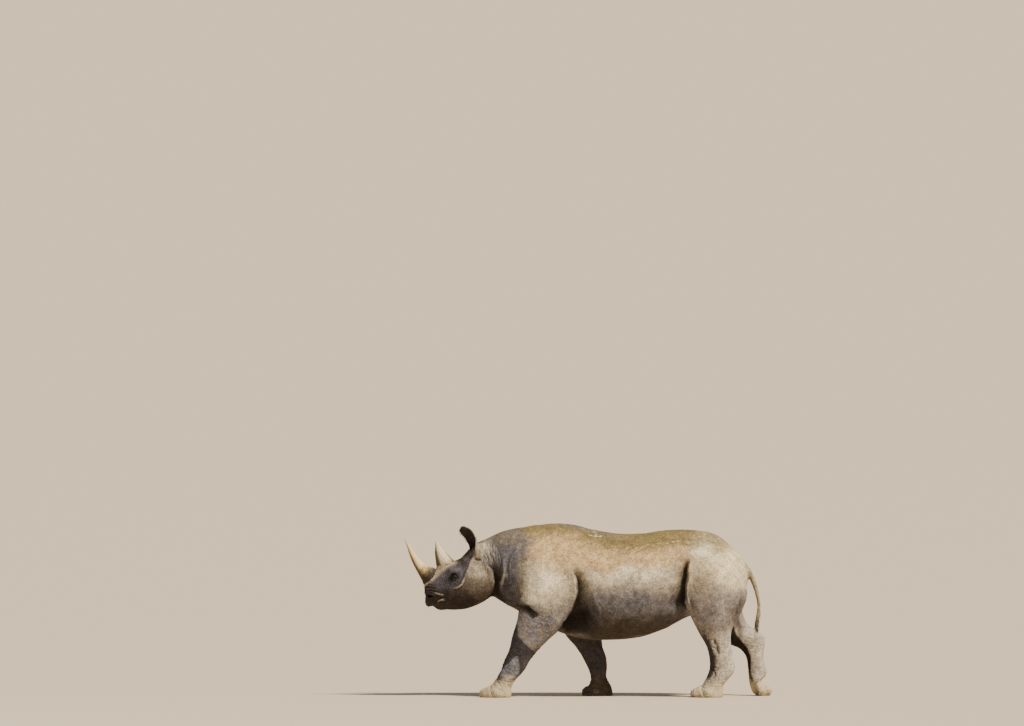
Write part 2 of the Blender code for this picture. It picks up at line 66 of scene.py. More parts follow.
def linked(name, mesh):
    """A new object in the scene that shows this mesh."""
    made = bpy.data.objects.new(name, mesh)
    bpy.context.scene.collection.objects.link(made)
    return made


def modified(mesh, kind, **settings):
    """The mesh that one modifier makes of this one."""
    carrier = linked("carrier", mesh)
    modifier = carrier.modifiers.new("change", kind)
    for setting, value in settings.items():
        setattr(modifier, setting, value)
    graph = bpy.context.evaluated_depsgraph_get()
    made = bpy.data.meshes.new_from_object(carrier.evaluated_get(graph))
    bpy.data.objects.remove(carrier)
    return made


def read(items, name, width, kind=np.float32):
    """One value of each item, such as each point's place, as the rows of an array."""
    found = np.empty(len(items) * width, kind)
    items.foreach_get(name, found)
    return found.reshape(-1, width)


def places(mesh):
    """Where the mesh's points are, one row each."""
    return read(mesh.vertices, "co", 3, float)


def move(mesh, where):
    """Puts the mesh's points at these places."""
    mesh.vertices.foreach_set("co", np.asarray(where, float).ravel())
    mesh.update()


def facing(mesh):
    """The way each point of the mesh faces."""
    return read(mesh.vertex_normals, "vector", 3).astype(float)


def relaxed(mesh, strength, passes):
    """Moves each point towards the mean of its neighbours, by its own strength."""
    where = places(mesh)
    one, two = read(mesh.edges, "vertices", 2, np.int32).T
    count = np.bincount(one, minlength=len(where)) + np.bincount(two, minlength=len(where))
    strength = np.broadcast_to(strength, len(where))[:, None]
    for _ in range(passes):
        total = [
            np.bincount(one, where[two, k], len(where)) + np.bincount(two, where[one, k], len(where))
            for k in range(3)
        ]
        where = where + strength * (np.stack(total, 1) / count[:, None] - where)
    move(mesh, where)


def built(name, bm):
    """A new mesh from what was built, its faces turned outward."""
    bmesh.ops.recalc_face_normals(bm, faces=bm.faces)
    made = bpy.data.meshes.new(name)
    bm.to_mesh(made)
    bm.free()
    return made


def tree_of(mesh):
    """The mesh's faces, as a tree to look up the nearest one in."""
    return BVHTree.FromPolygons([v.co for v in mesh.vertices], [p.vertices for p in mesh.polygons])


def refine(mesh, wanted):
    """Splits every face whose points are all wanted into four."""
    bm = bmesh.new()
    bm.from_mesh(mesh)
    edges = [e for e in bm.edges if wanted[e.verts[0].index] and wanted[e.verts[1].index]]
    bmesh.ops.subdivide_edges(bm, edges=edges, cuts=1, use_grid_fill=True)
    bm.to_mesh(mesh)
    bm.free()


def ramp(value, low, high):
    """0 below low, 1 above high, and smooth between; low may be the larger."""
    share = np.clip((value - low) / (high - low), 0, 1)
    return share * share * (3 - 2 * share)


def bell(away):
    """1 at 0, falling away smoothly to nearly 0 at 2 on either side."""
    return np.exp(-(away**2))


PRIMES = (73856093, 19349663, 83492791)  # they scatter the cells of the noise
GRADIENTS = np.random.default_rng(7).normal(size=(256, 3))
GRADIENTS /= np.linalg.norm(GRADIENTS, axis=1)[:, None]


def noise(where, size, seed=0):
    """Smooth noise from 0 to 1 with lumps of about this size, which may differ by axis."""
    scaled = where / np.asarray(size, float) + (seed * 17.31, seed * 5.77, seed * 11.13)
    cell = np.floor(scaled).astype(np.int64)
    part = scaled - cell
    eased = part**3 * (part * (part * 6 - 15) + 10)
    total = 0
    for corner in range(8):
        step = np.array([corner & 1, corner >> 1 & 1, corner >> 2 & 1])
        at = cell + step
        mixed = (at[:, 0] * PRIMES[0]) ^ (at[:, 1] * PRIMES[1]) ^ (at[:, 2] * PRIMES[2])
        mixed = (mixed ^ (mixed >> 13)) * 1274126177 & 0x7FFFFFFF
        slope = GRADIENTS[(mixed ^ (mixed >> 15)) & 255]
        weight = np.prod(np.where(step, eased, 1 - eased), axis=1)
        total = total + weight * np.einsum("ij,ij->i", slope, part - step)
    return np.clip(0.5 + 0.85 * total, 0, 1)


def creases(where, size, seed=0):
    """Noise drawn as thin winding creases: 1 in a crease and 0 away from it."""
    size = np.asarray(size, float)
    bent = where + size * 0.9 * (noise(where, size * 1.7, seed + 40)[:, None] - 0.5)
    return (1 - np.abs(2 * noise(bent, size, seed) - 1)) ** 6


SHIFT = middle("eye_left").x + 1.221  # the side view's own x to the row's


def beside(where, path):
    """For each point, in the side view: its distance from the path through these
    x, z points, positive on the path's left, and how far along it lies, 0 to 1."""
    path = np.array(path, float) + (SHIFT, 0)
    spans = np.diff(path, axis=0)
    lengths = np.linalg.norm(spans, axis=1)
    starts = np.concatenate([[0], np.cumsum(lengths)])
    best = np.full(len(where), np.inf)
    side, share = np.ones(len(where)), np.zeros(len(where))
    for start, span, length, before in zip(path, spans, lengths, starts):
        off = where[:, (0, 2)] - start
        t = np.clip(off @ span / length**2, 0, 1)
        gap = np.linalg.norm(off - t[:, None] * span, axis=1)
        nearer = gap < best
        best = np.where(nearer, gap, best)
        turn = span[0] * off[:, 1] - span[1] * off[:, 0]
        side = np.where(nearer, np.where(turn < 0, -1, 1), side)
        share = np.where(nearer, (before + t * length) / starts[-1], share)
    return best * side, share


def curved(points, steps=6):
    """The points with more between them, on a smooth curve through them."""
    points = [np.array(p, float) for p in points]
    held = [2 * points[0] - points[1], *points, 2 * points[-1] - points[-2]]
    made = []
    for a, b, c, d in zip(held, held[1:], held[2:], held[3:]):
        for t in np.arange(steps) / steps:
            bend = (2 * a - 5 * b + 4 * c - d) * t**2 + (3 * b - a - 3 * c + d) * t**3
            made.append((2 * b + (c - a) * t + bend) / 2)
    return [*made, points[-1]]


# Folds in the side view, as x, z points from one end to the other. Each is a
# groove or, if its depth is under 0, a ridge: depth and width in metres, and the
# sides of the animal that have it.
FOLDS = {
    "neck_hollow": (((-0.878, 1.262), (-0.842, 1.160), (-0.832, 1.060), (-0.832, 0.940)),
                    0.010, 0.026, BOTH),
    "neck_ridge": (((-0.776, 1.300), (-0.768, 1.200), (-0.768, 1.106), (-0.778, 0.985)),
                   -0.009, 0.017, BOTH),
    "neck_crease": (((-0.905, 1.330), (-0.868, 1.262), (-0.850, 1.200)), 0.005, 0.010, BOTH),
    "shoulder_crease": (((-0.640, 1.350), (-0.679, 1.290), (-0.700, 1.220), (-0.700, 1.120)),
                        0.004, 0.014, BOTH),
    "ear_roll": (((-1.060, 1.296), (-1.010, 1.302), (-0.968, 1.283)), -0.006, 0.014, BOTH),
    "ear_crease": (((-1.060, 1.270), (-1.012, 1.260), (-0.965, 1.250)), 0.011, 0.013, BOTH),
    "below_eye": (((-1.245, 0.996), (-1.200, 1.004), (-1.162, 1.028), (-1.138, 1.072),
                   (-1.128, 1.110)), -0.009, 0.010, BOTH),
    "elbow_fold": (((0.020, 0.960), (0.035, 0.880), (0.075, 0.800), (0.110, 0.715)),
                   0.008, 0.018, (LEFT,)),
    "elbow_fold_2": (((0.075, 0.900), (0.115, 0.810), (0.135, 0.740)), 0.004, 0.015, (LEFT,)),
    "flank_flap": (((0.915, 0.990), (0.916, 0.900), (0.932, 0.820), (0.962, 0.735),
                    (1.010, 0.665)), -0.009, 0.012, (LEFT,)),
    "flank_right": (((0.926, 1.285), (0.925, 1.190), (0.930, 1.080), (0.945, 0.960),
                     (0.975, 0.860), (1.020, 0.780)), 0.016, 0.034, (RIGHT,)),
    "flank_crease": (((0.950, 0.960), (0.948, 0.880), (0.965, 0.800), (1.000, 0.715)),
                     0.008, 0.016, (LEFT,)),
    "knee_crease": (((0.985, 0.640), (1.040, 0.618), (1.100, 0.630)), 0.004, 0.014, (LEFT,)),
    "calf": (((1.150, 0.560), (1.172, 0.470), (1.200, 0.380)), 0.009, 0.022, (LEFT,)),
    "mouth": (((-1.428, 0.818), (-1.404, 0.862), (-1.377, 0.893), (-1.340, 0.912),
               (-1.300, 0.916), (-1.272, 0.906)), 0.013, 0.006, BOTH),
    "lip_roll": (((-1.385, 0.872), (-1.345, 0.890), (-1.305, 0.894)), -0.006, 0.010, BOTH),
    "lip_crease": (((-1.360, 0.866), (-1.325, 0.874), (-1.285, 0.868)), 0.005, 0.008, BOTH),
    "nose_fold": (((-1.410, 0.962), (-1.380, 0.948), (-1.345, 0.938), (-1.310, 0.942)),
                  -0.005, 0.010, BOTH),
    "nose_crease": (((-1.505, 0.972), (-1.440, 0.978), (-1.385, 0.962), (-1.345, 0.958)),
                    0.006, 0.007, BOTH),
    "nose_crease_2": (((-1.500, 1.001), (-1.443, 1.004), (-1.390, 0.990)), 0.004, 0.007, BOTH),
    "nose_crease_3": (((-1.490, 1.028), (-1.443, 1.030), (-1.410, 1.022)), 0.0025, 0.006, BOTH),
    "chin": (((-1.290, 0.826), (-1.262, 0.846), (-1.225, 0.856)), 0.004, 0.014, BOTH),
}
# Steps in the side view, where one mass of the body stands over the next: the
# points run so that the mass is on their left. Then how far it rises and how far
# the other side drops, the step's width, how far the rise and the drop reach, at
# the first point and at the last, and the sides that have it.
STEPS = {
    "triceps": (((-0.300, 0.590), (-0.243, 0.663), (-0.160, 0.775), (-0.112, 0.900),
                 (-0.098, 1.010), (-0.110, 1.100), (-0.160, 1.180)),
                0.018, 0.066, 0.014, 0.080, (0.160, 0.045), (LEFT,)),
    "flank": (((0.926, 1.285), (0.918, 1.190), (0.908, 1.080), (0.897, 0.960),
               (0.892, 0.860), (0.905, 0.770)),
              0.012, 0.075, 0.013, 0.060, (0.028, 0.170), (LEFT,)),
    "face": (((-1.040, 1.315), (-1.070, 1.255), (-1.100, 1.195), (-1.128, 1.130),
              (-1.148, 1.070), (-1.190, 1.020), (-1.245, 0.996)),
             0.005, 0.009, 0.012, 0.050, (0.050, 0.035), BOTH),
    "cheek": (((-0.945, 0.900), (-0.893, 0.940), (-0.866, 1.000), (-0.858, 1.061),
               (-0.868, 1.130), (-0.902, 1.190), (-0.948, 1.235)),
              0.006, 0.016, 0.013, 0.060, (0.050, 0.035), BOTH),
    "shoulder": (((-0.765, 0.930), (-0.752, 1.060), (-0.735, 1.180), (-0.690, 1.310),
                  (-0.640, 1.400)),
                 -0.004, -0.010, 0.016, 0.050, (0.060, 0.040), BOTH),
    "chest": (((-0.690, 0.852), (-0.625, 0.866), (-0.560, 0.846), (-0.500, 0.800),
               (-0.440, 0.745)),
              0.011, 0.026, 0.011, 0.040, (0.045, 0.065), (LEFT,)),
    "buttock": (((1.300, 0.660), (1.345, 0.760), (1.385, 0.860), (1.405, 0.960)),
                0.006, 0.010, 0.014, 0.050, (0.040, 0.030), (LEFT,)),
}
# Muscle and bone that round the hide out, or where it falls in: x, z, the reach
# along x and along z, how far, and the sides that have it.
FORMS = {
    "hip": (0.985, 1.320, 0.085, 0.070, 0.016, BOTH),
    "hollow_before_hip": (0.790, 1.235, 0.110, 0.090, -0.014, BOTH),
    "shoulder_blade": (-0.420, 1.230, 0.090, 0.200, 0.010, BOTH),
    "behind_blade": (-0.170, 1.290, 0.090, 0.110, -0.009, BOTH),
    "before_blade": (-0.640, 1.200, 0.060, 0.160, -0.006, BOTH),
    "thigh": (1.130, 0.960, 0.130, 0.150, 0.010, BOTH),
    "thigh_groove": (1.270, 0.900, 0.040, 0.170, -0.009, BOTH),
    "temple": (-1.160, 1.190, 0.050, 0.060, -0.008, BOTH),
    "brow": (-1.232, 1.155, 0.060, 0.026, 0.007, BOTH),
    "muzzle": (-1.360, 1.010, 0.050, 0.040, -0.006, BOTH),
    "elbow": (-0.330, 0.700, 0.080, 0.080, 0.010, (LEFT,)),
    "armpit": (-0.040, 0.760, 0.070, 0.120, -0.034, (LEFT,)),
}


def on_side(where, out, sides):
    """Which places lie on these sides of the animal and face them."""
    return np.isin(np.sign(out[:, 1]), sides) & np.isin(np.sign(where[:, 1]), sides)


def pressed(mesh, path, reach, sides, depth_at):
    """Moves the skin inward near a path in the side view, by what depth_at says."""
    where, out = places(mesh), facing(mesh)
    low, high = np.min(path, axis=0) + (SHIFT, 0), np.max(path, axis=0) + (SHIFT, 0)
    flat = where[:, (0, 2)]
    near = ((flat > low - reach) & (flat < high + reach)).all(1)
    near &= on_side(where, out, sides) & (np.abs(out[:, 1]) > 0.15)
    depth = depth_at(where[near]) * ramp(np.abs(out[near, 1]), 0.15, 0.5)
    where[near] -= out[near] * depth[:, None]
    move(mesh, where)


def fold(mesh, path, depth, width, sides):
    """Sinks a groove into the mesh, or raises a ridge, with a soft roll beside it."""

    def depth_at(where):
        """How far in each place goes."""
        gap, share = beside(where, curved(path))
        gap = gap + 0.5 * width * (2 * noise(where, 0.045, 1) - 1)
        width_here = width * (0.55 + 0.45 * np.sin(math.pi * share))
        away = np.abs(gap) / width_here
        fade = ramp(share, 0, 0.3) * ramp(share, 1, 0.7) * (0.7 + 0.6 * noise(where, 0.06, 2))
        return depth * fade * (bell(away) - 0.22 * bell(away - 1.9))

    pressed(mesh, path, 3 * width, sides, depth_at)


def overlap(where, path, width, over, under):
    """How much each place lies on a step, and how much just under it."""
    gap, share = beside(where, curved(path))
    gap = gap + 0.6 * width * (2 * noise(where, 0.07, 3) - 1)
    upper = ramp(gap, -width, width)
    reach = under[0] + (under[1] - under[0]) * share
    fade = ramp(share, 0, 0.22) * ramp(share, 1, 0.78)
    on_it = fade * upper * bell(np.maximum(gap, 0) / over)
    return on_it, fade * (1 - upper) * bell(np.minimum(gap, 0) / reach)


def step(mesh, path, rise, drop, width, over, under, sides):
    """Lifts the skin on the left of the path and lowers it on the right."""

    def depth_at(where):
        """How far in each place goes."""
        on_it, under_it = overlap(where, path, width, over, under)
        return drop * under_it - rise * on_it

    pressed(mesh, path, 2.5 * max(over, *under), sides, depth_at)


def form(mesh, x, z, reach_x, reach_z, rise, sides):
    """Rounds the skin out, or lets it fall in, about one place."""
    where, out = places(mesh), facing(mesh)
    near = on_side(where, out, sides)
    far = np.hypot((where[near, 0] - x - SHIFT) / reach_x, (where[near, 2] - z) / reach_z)
    lift = rise * bell(far) * ramp(np.abs(out[near, 1]), 0.1, 0.5)
    where[near] += out[near] * lift[:, None]
    move(mesh, where)


def fused():
    """The parts of flesh as one closed mesh, smoothed more where they are flatter."""
    bm = bmesh.new()
    for name in FLESH:
        bm.from_mesh(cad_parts[name].data)
    mesh = bpy.data.meshes.new("skin")
    bm.to_mesh(mesh)
    bm.free()
    mesh = modified(mesh, "REMESH", mode="VOXEL", voxel_size=GRID)
    where = places(mesh)
    x, y, z = where.T
    # how much each place may be smoothed: the trunk most, then legs, head, feet
    soft = np.full(len(where), 0.5)
    soft -= 0.36 * ramp(z, 0.80, 0.55)
    soft -= 0.06 * ramp(z, 0.30, 0.18)
    soft = np.minimum(soft, 0.5 - 0.36 * ramp(x, -0.85, -1.05))
    soft = np.minimum(soft, 0.5 - 0.42 * ramp(x, -1.33, -1.42))
    behind = ramp(x, 1.46, 1.50) * ramp(np.abs(y), 0.07, 0.05) * ramp(z, 0.5, 0.6)
    soft *= 1 - 0.93 * behind
    relaxed(mesh, soft, SMOOTHINGS)
    return mesh


skin_mesh = fused()


def eye_axes(side):
    """The eye's own axes: along its opening to the back, up across it, and out."""
    out = Vector((-0.22, side * 0.95, 0.10)).normalized()
    along = Vector((0.985, 0, 0.17))
    along = (along - out * along.dot(out)).normalized()
    up = along.cross(out) * side
    return np.array([along, up, out])


EYES = {side: np.array(middle(node)) for side, node in ((LEFT, "eye_left"), (RIGHT, "eye_right"))}
EYE_RADIUS = (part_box("eye_left")[1].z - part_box("eye_left")[0].z) / 2
LID = 0.003  # thickness of a lid over the eyeball
OPENING = (0.0225, 0.0125, 0.0095)  # half length of the eye's opening, its rise and its drop
# Wrinkles round the eye: radius, depth, and the arc they cover, in degrees from
# the eye's front corner over its top
EYE_WRINKLES = (
    (0.0315, 0.00195, 20, 165),
    (0.0400, 0.00169, 45, 200),
    (0.0520, 0.00143, 60, 170),
    (0.0320, 0.00195, 190, 345),
    (0.0410, 0.00208, 200, 400),
    (0.0530, 0.00182, 215, 385),
    (0.0680, 0.00182, 235, 395),
    (0.0840, 0.00130, 255, 380),
)
WRINKLE = 0.0036  # half width of a wrinkle
LID_REACH = 0.135  # how far from the eye its lids and wrinkles change the skin
LID_SOFT = 0.007  # how softly a lid joins the face
LID_RIM = 0.0016  # how thick the rim of the opening stands
SUNK_BALL = 0.007  # how far behind the eyeball's front the skin goes in the opening
NAILS = [f"nail_{leg}_{toe}" for leg in LEGS for toe in ("middle", "outer", "inner")]
TOE = (0.058, 0.050, 0.036, 0.022)  # half width, half height, depth, how far behind its nail
TOE_SOFT = 0.005  # how softly a toe joins its foot
NOSTRIL = (-1.452, 0.090, 0.925)  # the middle of the right one
NOSTRIL_SIZE = (0.028, 0.0125, 0.026)  # half length, half height and depth


def nostril_middle(side):
    """The middle of one nostril."""
    return np.array((NOSTRIL[0] + SHIFT, side * NOSTRIL[1], NOSTRIL[2]))


def gap_to(where, spots):
    """How far each place is from the nearest of these spots."""
    return np.min([np.linalg.norm(where - spot, axis=1) for spot in spots], axis=0)


def refine_details(mesh):
    """Splits the faces of head, feet and tail, those of the folds, and those round
    the nostrils and the eyes once or twice more."""
    where = places(mesh)
    x, y, z = where.T
    x = x - SHIFT
    fine = (x < -0.84) | (z < 0.17) | ((x > 1.47) & (np.abs(y) < 0.07) & (z > 0.5))
    fine |= (x > 1.46) & (z < 0.27)
    for path, width, sides in [
        *((path, width, sides) for path, _, width, sides in FOLDS.values()),
        *((path, width, sides) for path, _, _, width, _, _, sides in STEPS.values()),
    ]:
        near = np.isin(np.sign(y), sides) & ~fine
        gap, _ = beside(where[near], path)
        fine[near] |= np.abs(gap) < 2.6 * width
    refine(mesh, fine)
    nostrils = [nostril_middle(side) for side in BOTH]
    where = places(mesh)
    refine(mesh, (gap_to(where, EYES.values()) < 0.075) | (gap_to(where, nostrils) < 0.055))
    refine(mesh, gap_to(places(mesh), EYES.values()) < 0.038)


def set_lids(mesh, side):
    """Draws the skin over one eyeball as two lids, with wrinkles round them."""
    where = places(mesh)
    near = np.linalg.norm(where - EYES[side], axis=1) < LID_REACH
    a, b, height = ((where[near] - EYES[side]) @ eye_axes(side).T).T
    far = np.hypot(a, b)
    flat = np.stack([a, b, 0 * a], 1) + side
    a_ring = a + 0.010 * (2 * noise(flat, 0.030, 4) - 1)
    b_ring = b + 0.010 * (2 * noise(flat, 0.030, 5) - 1)
    ring = np.hypot(a_ring / 1.22, b_ring)
    angle = np.degrees(np.arctan2(b_ring, -a_ring)) % 360
    top = height.copy()
    for radius, deep, first, last in EYE_WRINKLES:
        turn = (angle - first) % 360 / (last - first)
        fade = ramp(turn, 0, 0.3) * ramp(turn, 1, 0.7) * (turn < 1)
        gap = (ring - radius) / WRINKLE
        top -= deep * fade * (bell(gap) - 0.5 * bell(np.abs(gap) - 1.8))
    lid = np.sqrt(np.clip((EYE_RADIUS + LID) ** 2 - far**2, 0, None))
    lid = np.where(far < EYE_RADIUS + LID, lid, -0.05)
    top = np.maximum(top, lid) + LID_SOFT / 2 * np.exp(-np.abs(top - lid) / LID_SOFT)
    arch = 1 - (a / OPENING[0]) ** 2
    inside = np.minimum(OPENING[1] * arch - b, OPENING[2] * arch + b)
    top += LID_RIM * bell((inside + 0.0012) / 0.0022) * (arch > -0.4)
    ball = np.sqrt(np.clip(EYE_RADIUS**2 - far**2, 0, None))
    open_share = ramp(inside, -0.0003, 0.0010)
    top = top * (1 - open_share) + (ball - SUNK_BALL) * open_share
    where[near] = EYES[side] + np.stack([a, b, top], 1) @ eye_axes(side)
    move(mesh, where)


def set_nostril(mesh, side):
    """Opens one nostril: a comma lying along the side of the snout, with a rim."""
    core = nostril_middle(side)
    where, out = places(mesh), facing(mesh)
    near = (np.linalg.norm(where - core, axis=1) < 0.09) & (out[:, 1] * side > 0)
    a = where[near, 0] - core[0]
    b = where[near, 2] - core[2] + 0.30 * a - 9.0 * a**2
    far = np.hypot(a / NOSTRIL_SIZE[0], b / NOSTRIL_SIZE[1])
    inward = np.array(Vector((0.45, -side, 0.05)).normalized())
    where[near] += inward * (NOSTRIL_SIZE[2] * ramp(far, 1.05, 0.45))[:, None]
    where[near] += out[near] * (0.005 * bell((far - 1.5) / 0.45))[:, None]
    move(mesh, where)


def nail_axes(node):
    """The middle of a nail, and the ways across it, up it and out of it."""
    where = np.array([v.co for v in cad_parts[node].data.vertices])
    core = np.array(middle(node))
    out = np.linalg.eigh(np.cov(where.T))[1][:, 0]
    foot = middle("foot_" + node[5:].rsplit("_", 1)[0])
    out *= math.copysign(1, out @ (core - np.array(foot)))
    across = np.cross((0, 0, 1), out)
    across /= np.linalg.norm(across)
    return core, np.array((across, np.cross(out, across), out))


def set_toe(mesh, node):
    """Rounds the skin up about one nail, so that the nail lies let into a toe."""
    core, axes = nail_axes(node)
    where, out = places(mesh), facing(mesh)
    near = (np.linalg.norm(where - core, axis=1) < 0.11) & (out @ axes[2] > -0.2)
    a, b, height = ((where[near] - core) @ axes.T).T
    far = np.hypot(a / TOE[0], b / TOE[1])
    dome = TOE[2] * np.sqrt(np.clip(1 - far**2, 0, None)) - TOE[3] - 0.10 * np.maximum(far - 1, 0)
    lifted = np.logaddexp(height / TOE_SOFT, dome / TOE_SOFT) * TOE_SOFT
    where[near] += axes[2] * (lifted - height)[:, None]
    move(mesh, where)


# The ear's middle line from inside the head to its tip, as x, y, z, then the
# radius it is rolled to and half the angle that it wraps round, in degrees.
EAR = (
    (-1.000, 0.090, 1.262, 0.034, 172),
    (-1.013, 0.095, 1.300, 0.034, 164),
    (-1.022, 0.099, 1.330, 0.035, 154),
    (-1.034, 0.104, 1.366, 0.038, 136),
    (-1.042, 0.112, 1.412, 0.043, 112),
    (-1.064, 0.122, 1.458, 0.052, 84),
    (-1.102, 0.132, 1.494, 0.061, 60),
    (-1.140, 0.138, 1.513, 0.064, 42),
    (-1.160, 0.140, 1.520, 0.063, 27),
    (-1.168, 0.141, 1.523, 0.062, 12),
)
EAR_OPENS = (-0.55, 0.78, -0.30)  # the way the right ear's hollow faces; the left mirrors it


def ear_line(side):
    """The ear's sections: the middle of its roll, the ways along, forward and aside
    there, the roll's radius and half its angle."""
    rows = curved([(x + SHIFT, side * y, z, r, w) for x, y, z, r, w in EAR], 8)
    line = [Vector(row[:3]) for row in rows]
    opens = Vector(EAR_OPENS)
    opens.y *= side
    made = []
    for i, row in enumerate(rows):
        along = (line[min(i + 1, len(line) - 1)] - line[max(i - 1, 0)]).normalized()
        forward = (opens - along * opens.dot(along)).normalized()
        centre = line[i] + forward * (row[3] * 0.45)
        made.append((centre, along, forward, along.cross(forward), row[3], math.radians(row[4])))
    return made


def in_ear(where):
    """1 for places on the hollow side of an ear's leaf, 0 on its back."""
    found = np.zeros(len(where))
    for side in BOTH:
        sections = ear_line(side)[16:]
        centres = np.array([section[0] for section in sections])
        near = np.flatnonzero(gap_to(where, centres) < 0.09)
        gaps = np.linalg.norm(where[near, None] - centres, axis=2)
        best = gaps.argmin(1)
        along = np.array([section[1] for section in sections])[best]
        off = where[near] - centres[best]
        off -= along * np.einsum("ij,ij->i", off, along)[:, None]
        radius = np.array([section[4] for section in sections])[best]
        found[near] = ramp(np.linalg.norm(off, axis=1), radius - 0.002, radius - 0.0065)
    return found


EAR_ACROSS = 34  # points across the ear's back, and as many across its hollow


def ear_rings(side):
    """The ear as rings of points, each out across its back and in across its hollow."""
    sections = ear_line(side)
    rings = []
    for i, (centre, _, forward, aside, rolled, half) in enumerate(sections):
        share = i / (len(sections) - 1)
        ring = []
        for inner in (False, True):
            for k in np.linspace(-1, 1, EAR_ACROSS) * (-1 if inner else 1):
                angle = half * k
                thick = (0.0095 - 0.003 * share) * (1 - 0.45 * k**4)
                flare = 0.006 * share * max(abs(k) - 0.7, 0) / 0.3
                ridges = 0.0011 * math.sin(26 * k) * (1 - k**2) * inner
                radius = rolled + flare - thick * inner + ridges
                way = aside * math.sin(angle) - forward * math.cos(angle)
                ring.append(centre + way * radius)
        rings.append(ring)
    return rings


def ear_mesh(side):
    """The ear as a closed mesh, rooted inside the head."""
    bm = bmesh.new()
    rings = [[bm.verts.new(point) for point in ring] for ring in ear_rings(side)]
    for one, two in zip(rings, rings[1:]):
        for k in range(len(one)):
            bm.faces.new((one[k - 1], one[k], two[k], two[k - 1]))
    half = len(rings[0]) // 2
    for ring in (rings[0], rings[-1]):
        for k in range(half - 1):
            bm.faces.new((ring[k], ring[k + 1], ring[-2 - k], ring[-1 - k]))
    mesh = built("ear", bm)
    relaxed(mesh, 0.5, 3)
    return mesh


def with_ear(mesh, side):
    """The skin joined with one ear, its root blended into the head."""
    ear = linked("ear", ear_mesh(side))
    ear_tree, head_tree = tree_of(ear.data), tree_of(mesh)
    mesh = modified(mesh, "BOOLEAN", object=ear, operation="UNION", solver="MANIFOLD")
    bpy.data.objects.remove(ear)
    where = places(mesh)
    root = np.array((EAR[2][0] + SHIFT, side * EAR[2][1], EAR[2][2]))
    strength = np.zeros(len(where))
    for i in np.flatnonzero(np.linalg.norm(where - root, axis=1) < 0.11):
        gaps = [tree.find_nearest(where[i])[3] for tree in (ear_tree, head_tree)]
        strength[i] = 0.5 * ramp(max(gaps), 0.024, 0.006)
    relaxed(mesh, strength, 16)
    return mesh


def wrinkle(mesh):
    """Presses in what time wears into hide: soft dents and ribs on the trunk, upright
    wrinkles behind the jaw, and level ones where the legs bend."""
    where, out = places(mesh), facing(mesh)
    x, y, z = where.T
    x = x - SHIFT
    trunk = ramp(x, -0.75, -0.55) * ramp(z, 0.50, 0.65)
    depth = trunk * (0.010 * noise(where, 0.20, 6) + 0.004 * noise(where, 0.07, 7))
    ribs = np.sin((x + 0.25 * z + 0.03 * noise(where, 0.2, 8)) * 2 * math.pi / 0.082)
    chest = ramp(x, 0.0, 0.12) * ramp(x, 0.85, 0.7) * ramp(z, 0.72, 0.85) * ramp(z, 1.28, 1.15)
    depth += 0.0011 * ribs * chest
    neck = ramp(x, -1.02, -0.96) * ramp(x, -0.74, -0.84) * ramp(z, 1.06, 1.20) * ramp(z, 1.46, 1.38)
    slanted = where + np.stack([0.16 * z, 0 * z, 0 * z], 1)
    depth += 0.0055 * neck * creases(slanted, (0.026, 0.08, 0.22), 9)
    throat = ramp(x, -1.0, -0.93) * ramp(x, -0.70, -0.80) * ramp(z, 1.06, 0.95)
    depth += 0.004 * throat * creases(slanted, (0.05, 0.09, 0.16), 10)
    level = np.stack([x, y, z + 0.18 * x], 1)
    joint = ramp(z, 0.34, 0.25) * ramp(z, 0.07, 0.11)
    joint = np.maximum(joint, ramp(np.abs(z - 0.42), 0.10, 0.05) * (x < -0.3))
    joint = np.maximum(joint, ramp(np.abs(z - 0.47), 0.10, 0.05) * (x > 1.05))
    depth += 0.0035 * joint * creases(level, (0.11, 0.11, 0.030), 11)
    elbow = bell((x + 0.45) / 0.16) * bell((z - 0.66) / 0.12) * (y < 0)
    depth += 0.0045 * elbow * creases(where, (0.05, 0.05, 0.04), 12)
    head = ramp(x, -0.95, -1.05) * ramp(gap_to(where, EYES.values()), 0.05, 0.10)
    depth += 0.0016 * head * creases(where, 0.035, 13) * ramp(z, 1.40, 1.30)
    muzzle = ramp(x, -1.28, -1.36) * ramp(z, 1.08, 1.00)
    depth += 0.0018 * muzzle * creases(where, (0.030, 0.02, 0.012), 14)
    depth += 0.0012 * creases(where, 0.045, 15) * ramp(z, 0.05, 0.12) * (1 - head)
    where -= out * (depth - depth.mean())[:, None]
    move(mesh, where)


def hang_throat(mesh):
    """Lets the skin hang under the throat, between the jaw and the breast."""
    where, out = places(mesh), facing(mesh)
    throat = bell((where[:, 0] - SHIFT + 0.72) / 0.13) * ramp(where[:, 2], 1.10, 0.95)
    where[:, 2] -= 0.024 * throat * ramp(out[:, 2], 0.2, -0.5) * (where[:, 2] > 0.70)
    move(mesh, where)


def set_down(mesh):
    """Flattens on the floor what would reach below it."""
    where = places(mesh)
    where[:, 2] = np.maximum(where[:, 2], 0.0)
    move(mesh, where)


refine_details(skin_mesh)
for made in FORMS.values():
    form(skin_mesh, *made)
for made in STEPS.values():
    step(skin_mesh, *made)
for made in FOLDS.values():
    fold(skin_mesh, *made)
wrinkle(skin_mesh)
hang_throat(skin_mesh)
for node in NAILS:
    set_toe(skin_mesh, node)
set_down(skin_mesh)
for side in BOTH:
    set_nostril(skin_mesh, side)
    skin_mesh = with_ear(skin_mesh, side)
    set_lids(skin_mesh, side)


